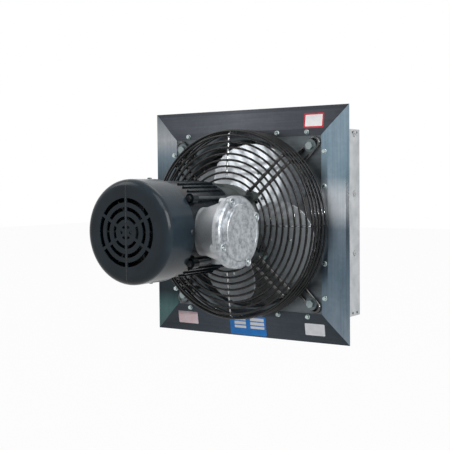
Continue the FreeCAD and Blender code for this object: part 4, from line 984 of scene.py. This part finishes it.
def white_room():
    """White all round for the camera and for reflections, and an even soft light for the rest."""
    world = bpy.data.worlds.new("white_room")
    bpy.context.scene.world = world
    world.use_nodes = True
    tree = world.node_tree
    even = tree.nodes["Background"]
    even.inputs["Color"].default_value = ROOM_TINT
    even.inputs["Strength"].default_value = ROOM_LIGHT
    seen = tree.nodes.new("ShaderNodeBackground")
    seen.inputs["Color"].default_value = (1, 1, 1, 1)
    seen.inputs["Strength"].default_value = 1.0
    mix = tree.nodes.new("ShaderNodeMixShader")
    tree.links.new(seen_rays(tree), mix.inputs["Fac"])
    tree.links.new(even.outputs[0], mix.inputs[1])
    tree.links.new(seen.outputs[0], mix.inputs[2])
    tree.links.new(mix.outputs[0], tree.nodes["World Output"].inputs["Surface"])


def view_from(azimuth, elevation):
    """Right, up and back directions of something that looks at the fan from an azimuth, to the right of the
    fan's front, and an elevation. Back is the way from the fan to it, and right is level."""
    a, e = math.radians(azimuth), math.radians(elevation)
    back = np.array([math.sin(a) * math.cos(e), -math.cos(a) * math.cos(e), math.sin(e)])
    right = np.cross((0, 0, 1), back)
    right /= np.linalg.norm(right)
    return right, np.cross(back, right), back


def looking(right, up, back, place):
    """Matrix of an object that faces away from its back, at a place."""
    matrix = np.eye(4)
    matrix[:3] = np.stack([right, up, back, place], axis=-1)
    return Matrix(matrix.tolist())


def placed_lamp(light, azimuth, elevation, distance, lift=0.0):
    """Puts a lamp at an azimuth, elevation and distance, turned to the fan. A lift raises it without turning
    it."""
    right, up, back = view_from(azimuth, elevation)
    lamp = bpy.data.objects.new(light.name, light)
    lamp.matrix_world = looking(right, up, back, back * distance + (0, 0, lift))
    bpy.context.scene.collection.objects.link(lamp)


def soft_lamp(name, azimuth, elevation, distance, width, height, watts):
    """Rectangular softbox, turned to the fan."""
    light = bpy.data.lights.new(name, "AREA")
    light.shape = "RECTANGLE"
    light.size = width
    light.size_y = height
    light.energy = watts
    placed_lamp(light, azimuth, elevation, distance)


def spot_lamp(name, azimuth, elevation, distance, lift, beam, watts):
    """Spot whose beam is that many degrees wide, with a soft edge."""
    light = bpy.data.lights.new(name, "SPOT")
    light.spot_size = math.radians(beam)
    light.spot_blend = SPOT_EDGE
    light.energy = watts
    light.shadow_soft_size = SPOT_RADIUS
    placed_lamp(light, azimuth, elevation, distance, lift)


def photo_camera():
    """Camera at the photograph's view: to the right, a little above level and turned by a small roll."""
    right, up, back = view_from(VIEW_AZIMUTH, VIEW_ELEVATION)
    roll = math.radians(VIEW_ROLL)
    rolled_right = math.cos(roll) * right + math.sin(roll) * up
    rolled_up = -math.sin(roll) * right + math.cos(roll) * up
    data = bpy.data.cameras.new("photo_view")
    data.sensor_width = SENSOR_WIDTH
    data.sensor_fit = "HORIZONTAL"
    data.lens = FOCAL_PIXELS / PHOTO_PIXELS * SENSOR_WIDTH
    camera = bpy.data.objects.new("photo_view", data)
    camera.matrix_world = looking(rolled_right, rolled_up, back, VIEW_PLACE)
    bpy.context.scene.collection.objects.link(camera)
    bpy.context.scene.camera = camera


pale_floor()
white_room()
spot_lamp("side_spot", azimuth=77, elevation=9, distance=2.2, lift=0.1, beam=4.0, watts=520)
spot_lamp("low_spot", azimuth=75, elevation=2, distance=2.2, lift=-0.19, beam=3.4, watts=420)
soft_lamp("side_lamp", azimuth=72, elevation=22, distance=2.3, width=1.2, height=1.2, watts=32)
soft_lamp("high_front_lamp", azimuth=50, elevation=52, distance=2.4, width=1.4, height=1.2, watts=15)
soft_lamp("front_left_lamp", azimuth=-52, elevation=40, distance=2.6, width=1.2, height=1.2, watts=12)
soft_lamp("rear_lamp", azimuth=180, elevation=64, distance=2.6, width=1.4, height=1.2, watts=9)
photo_camera()
bpy.context.scene.view_settings.view_transform = "Standard"
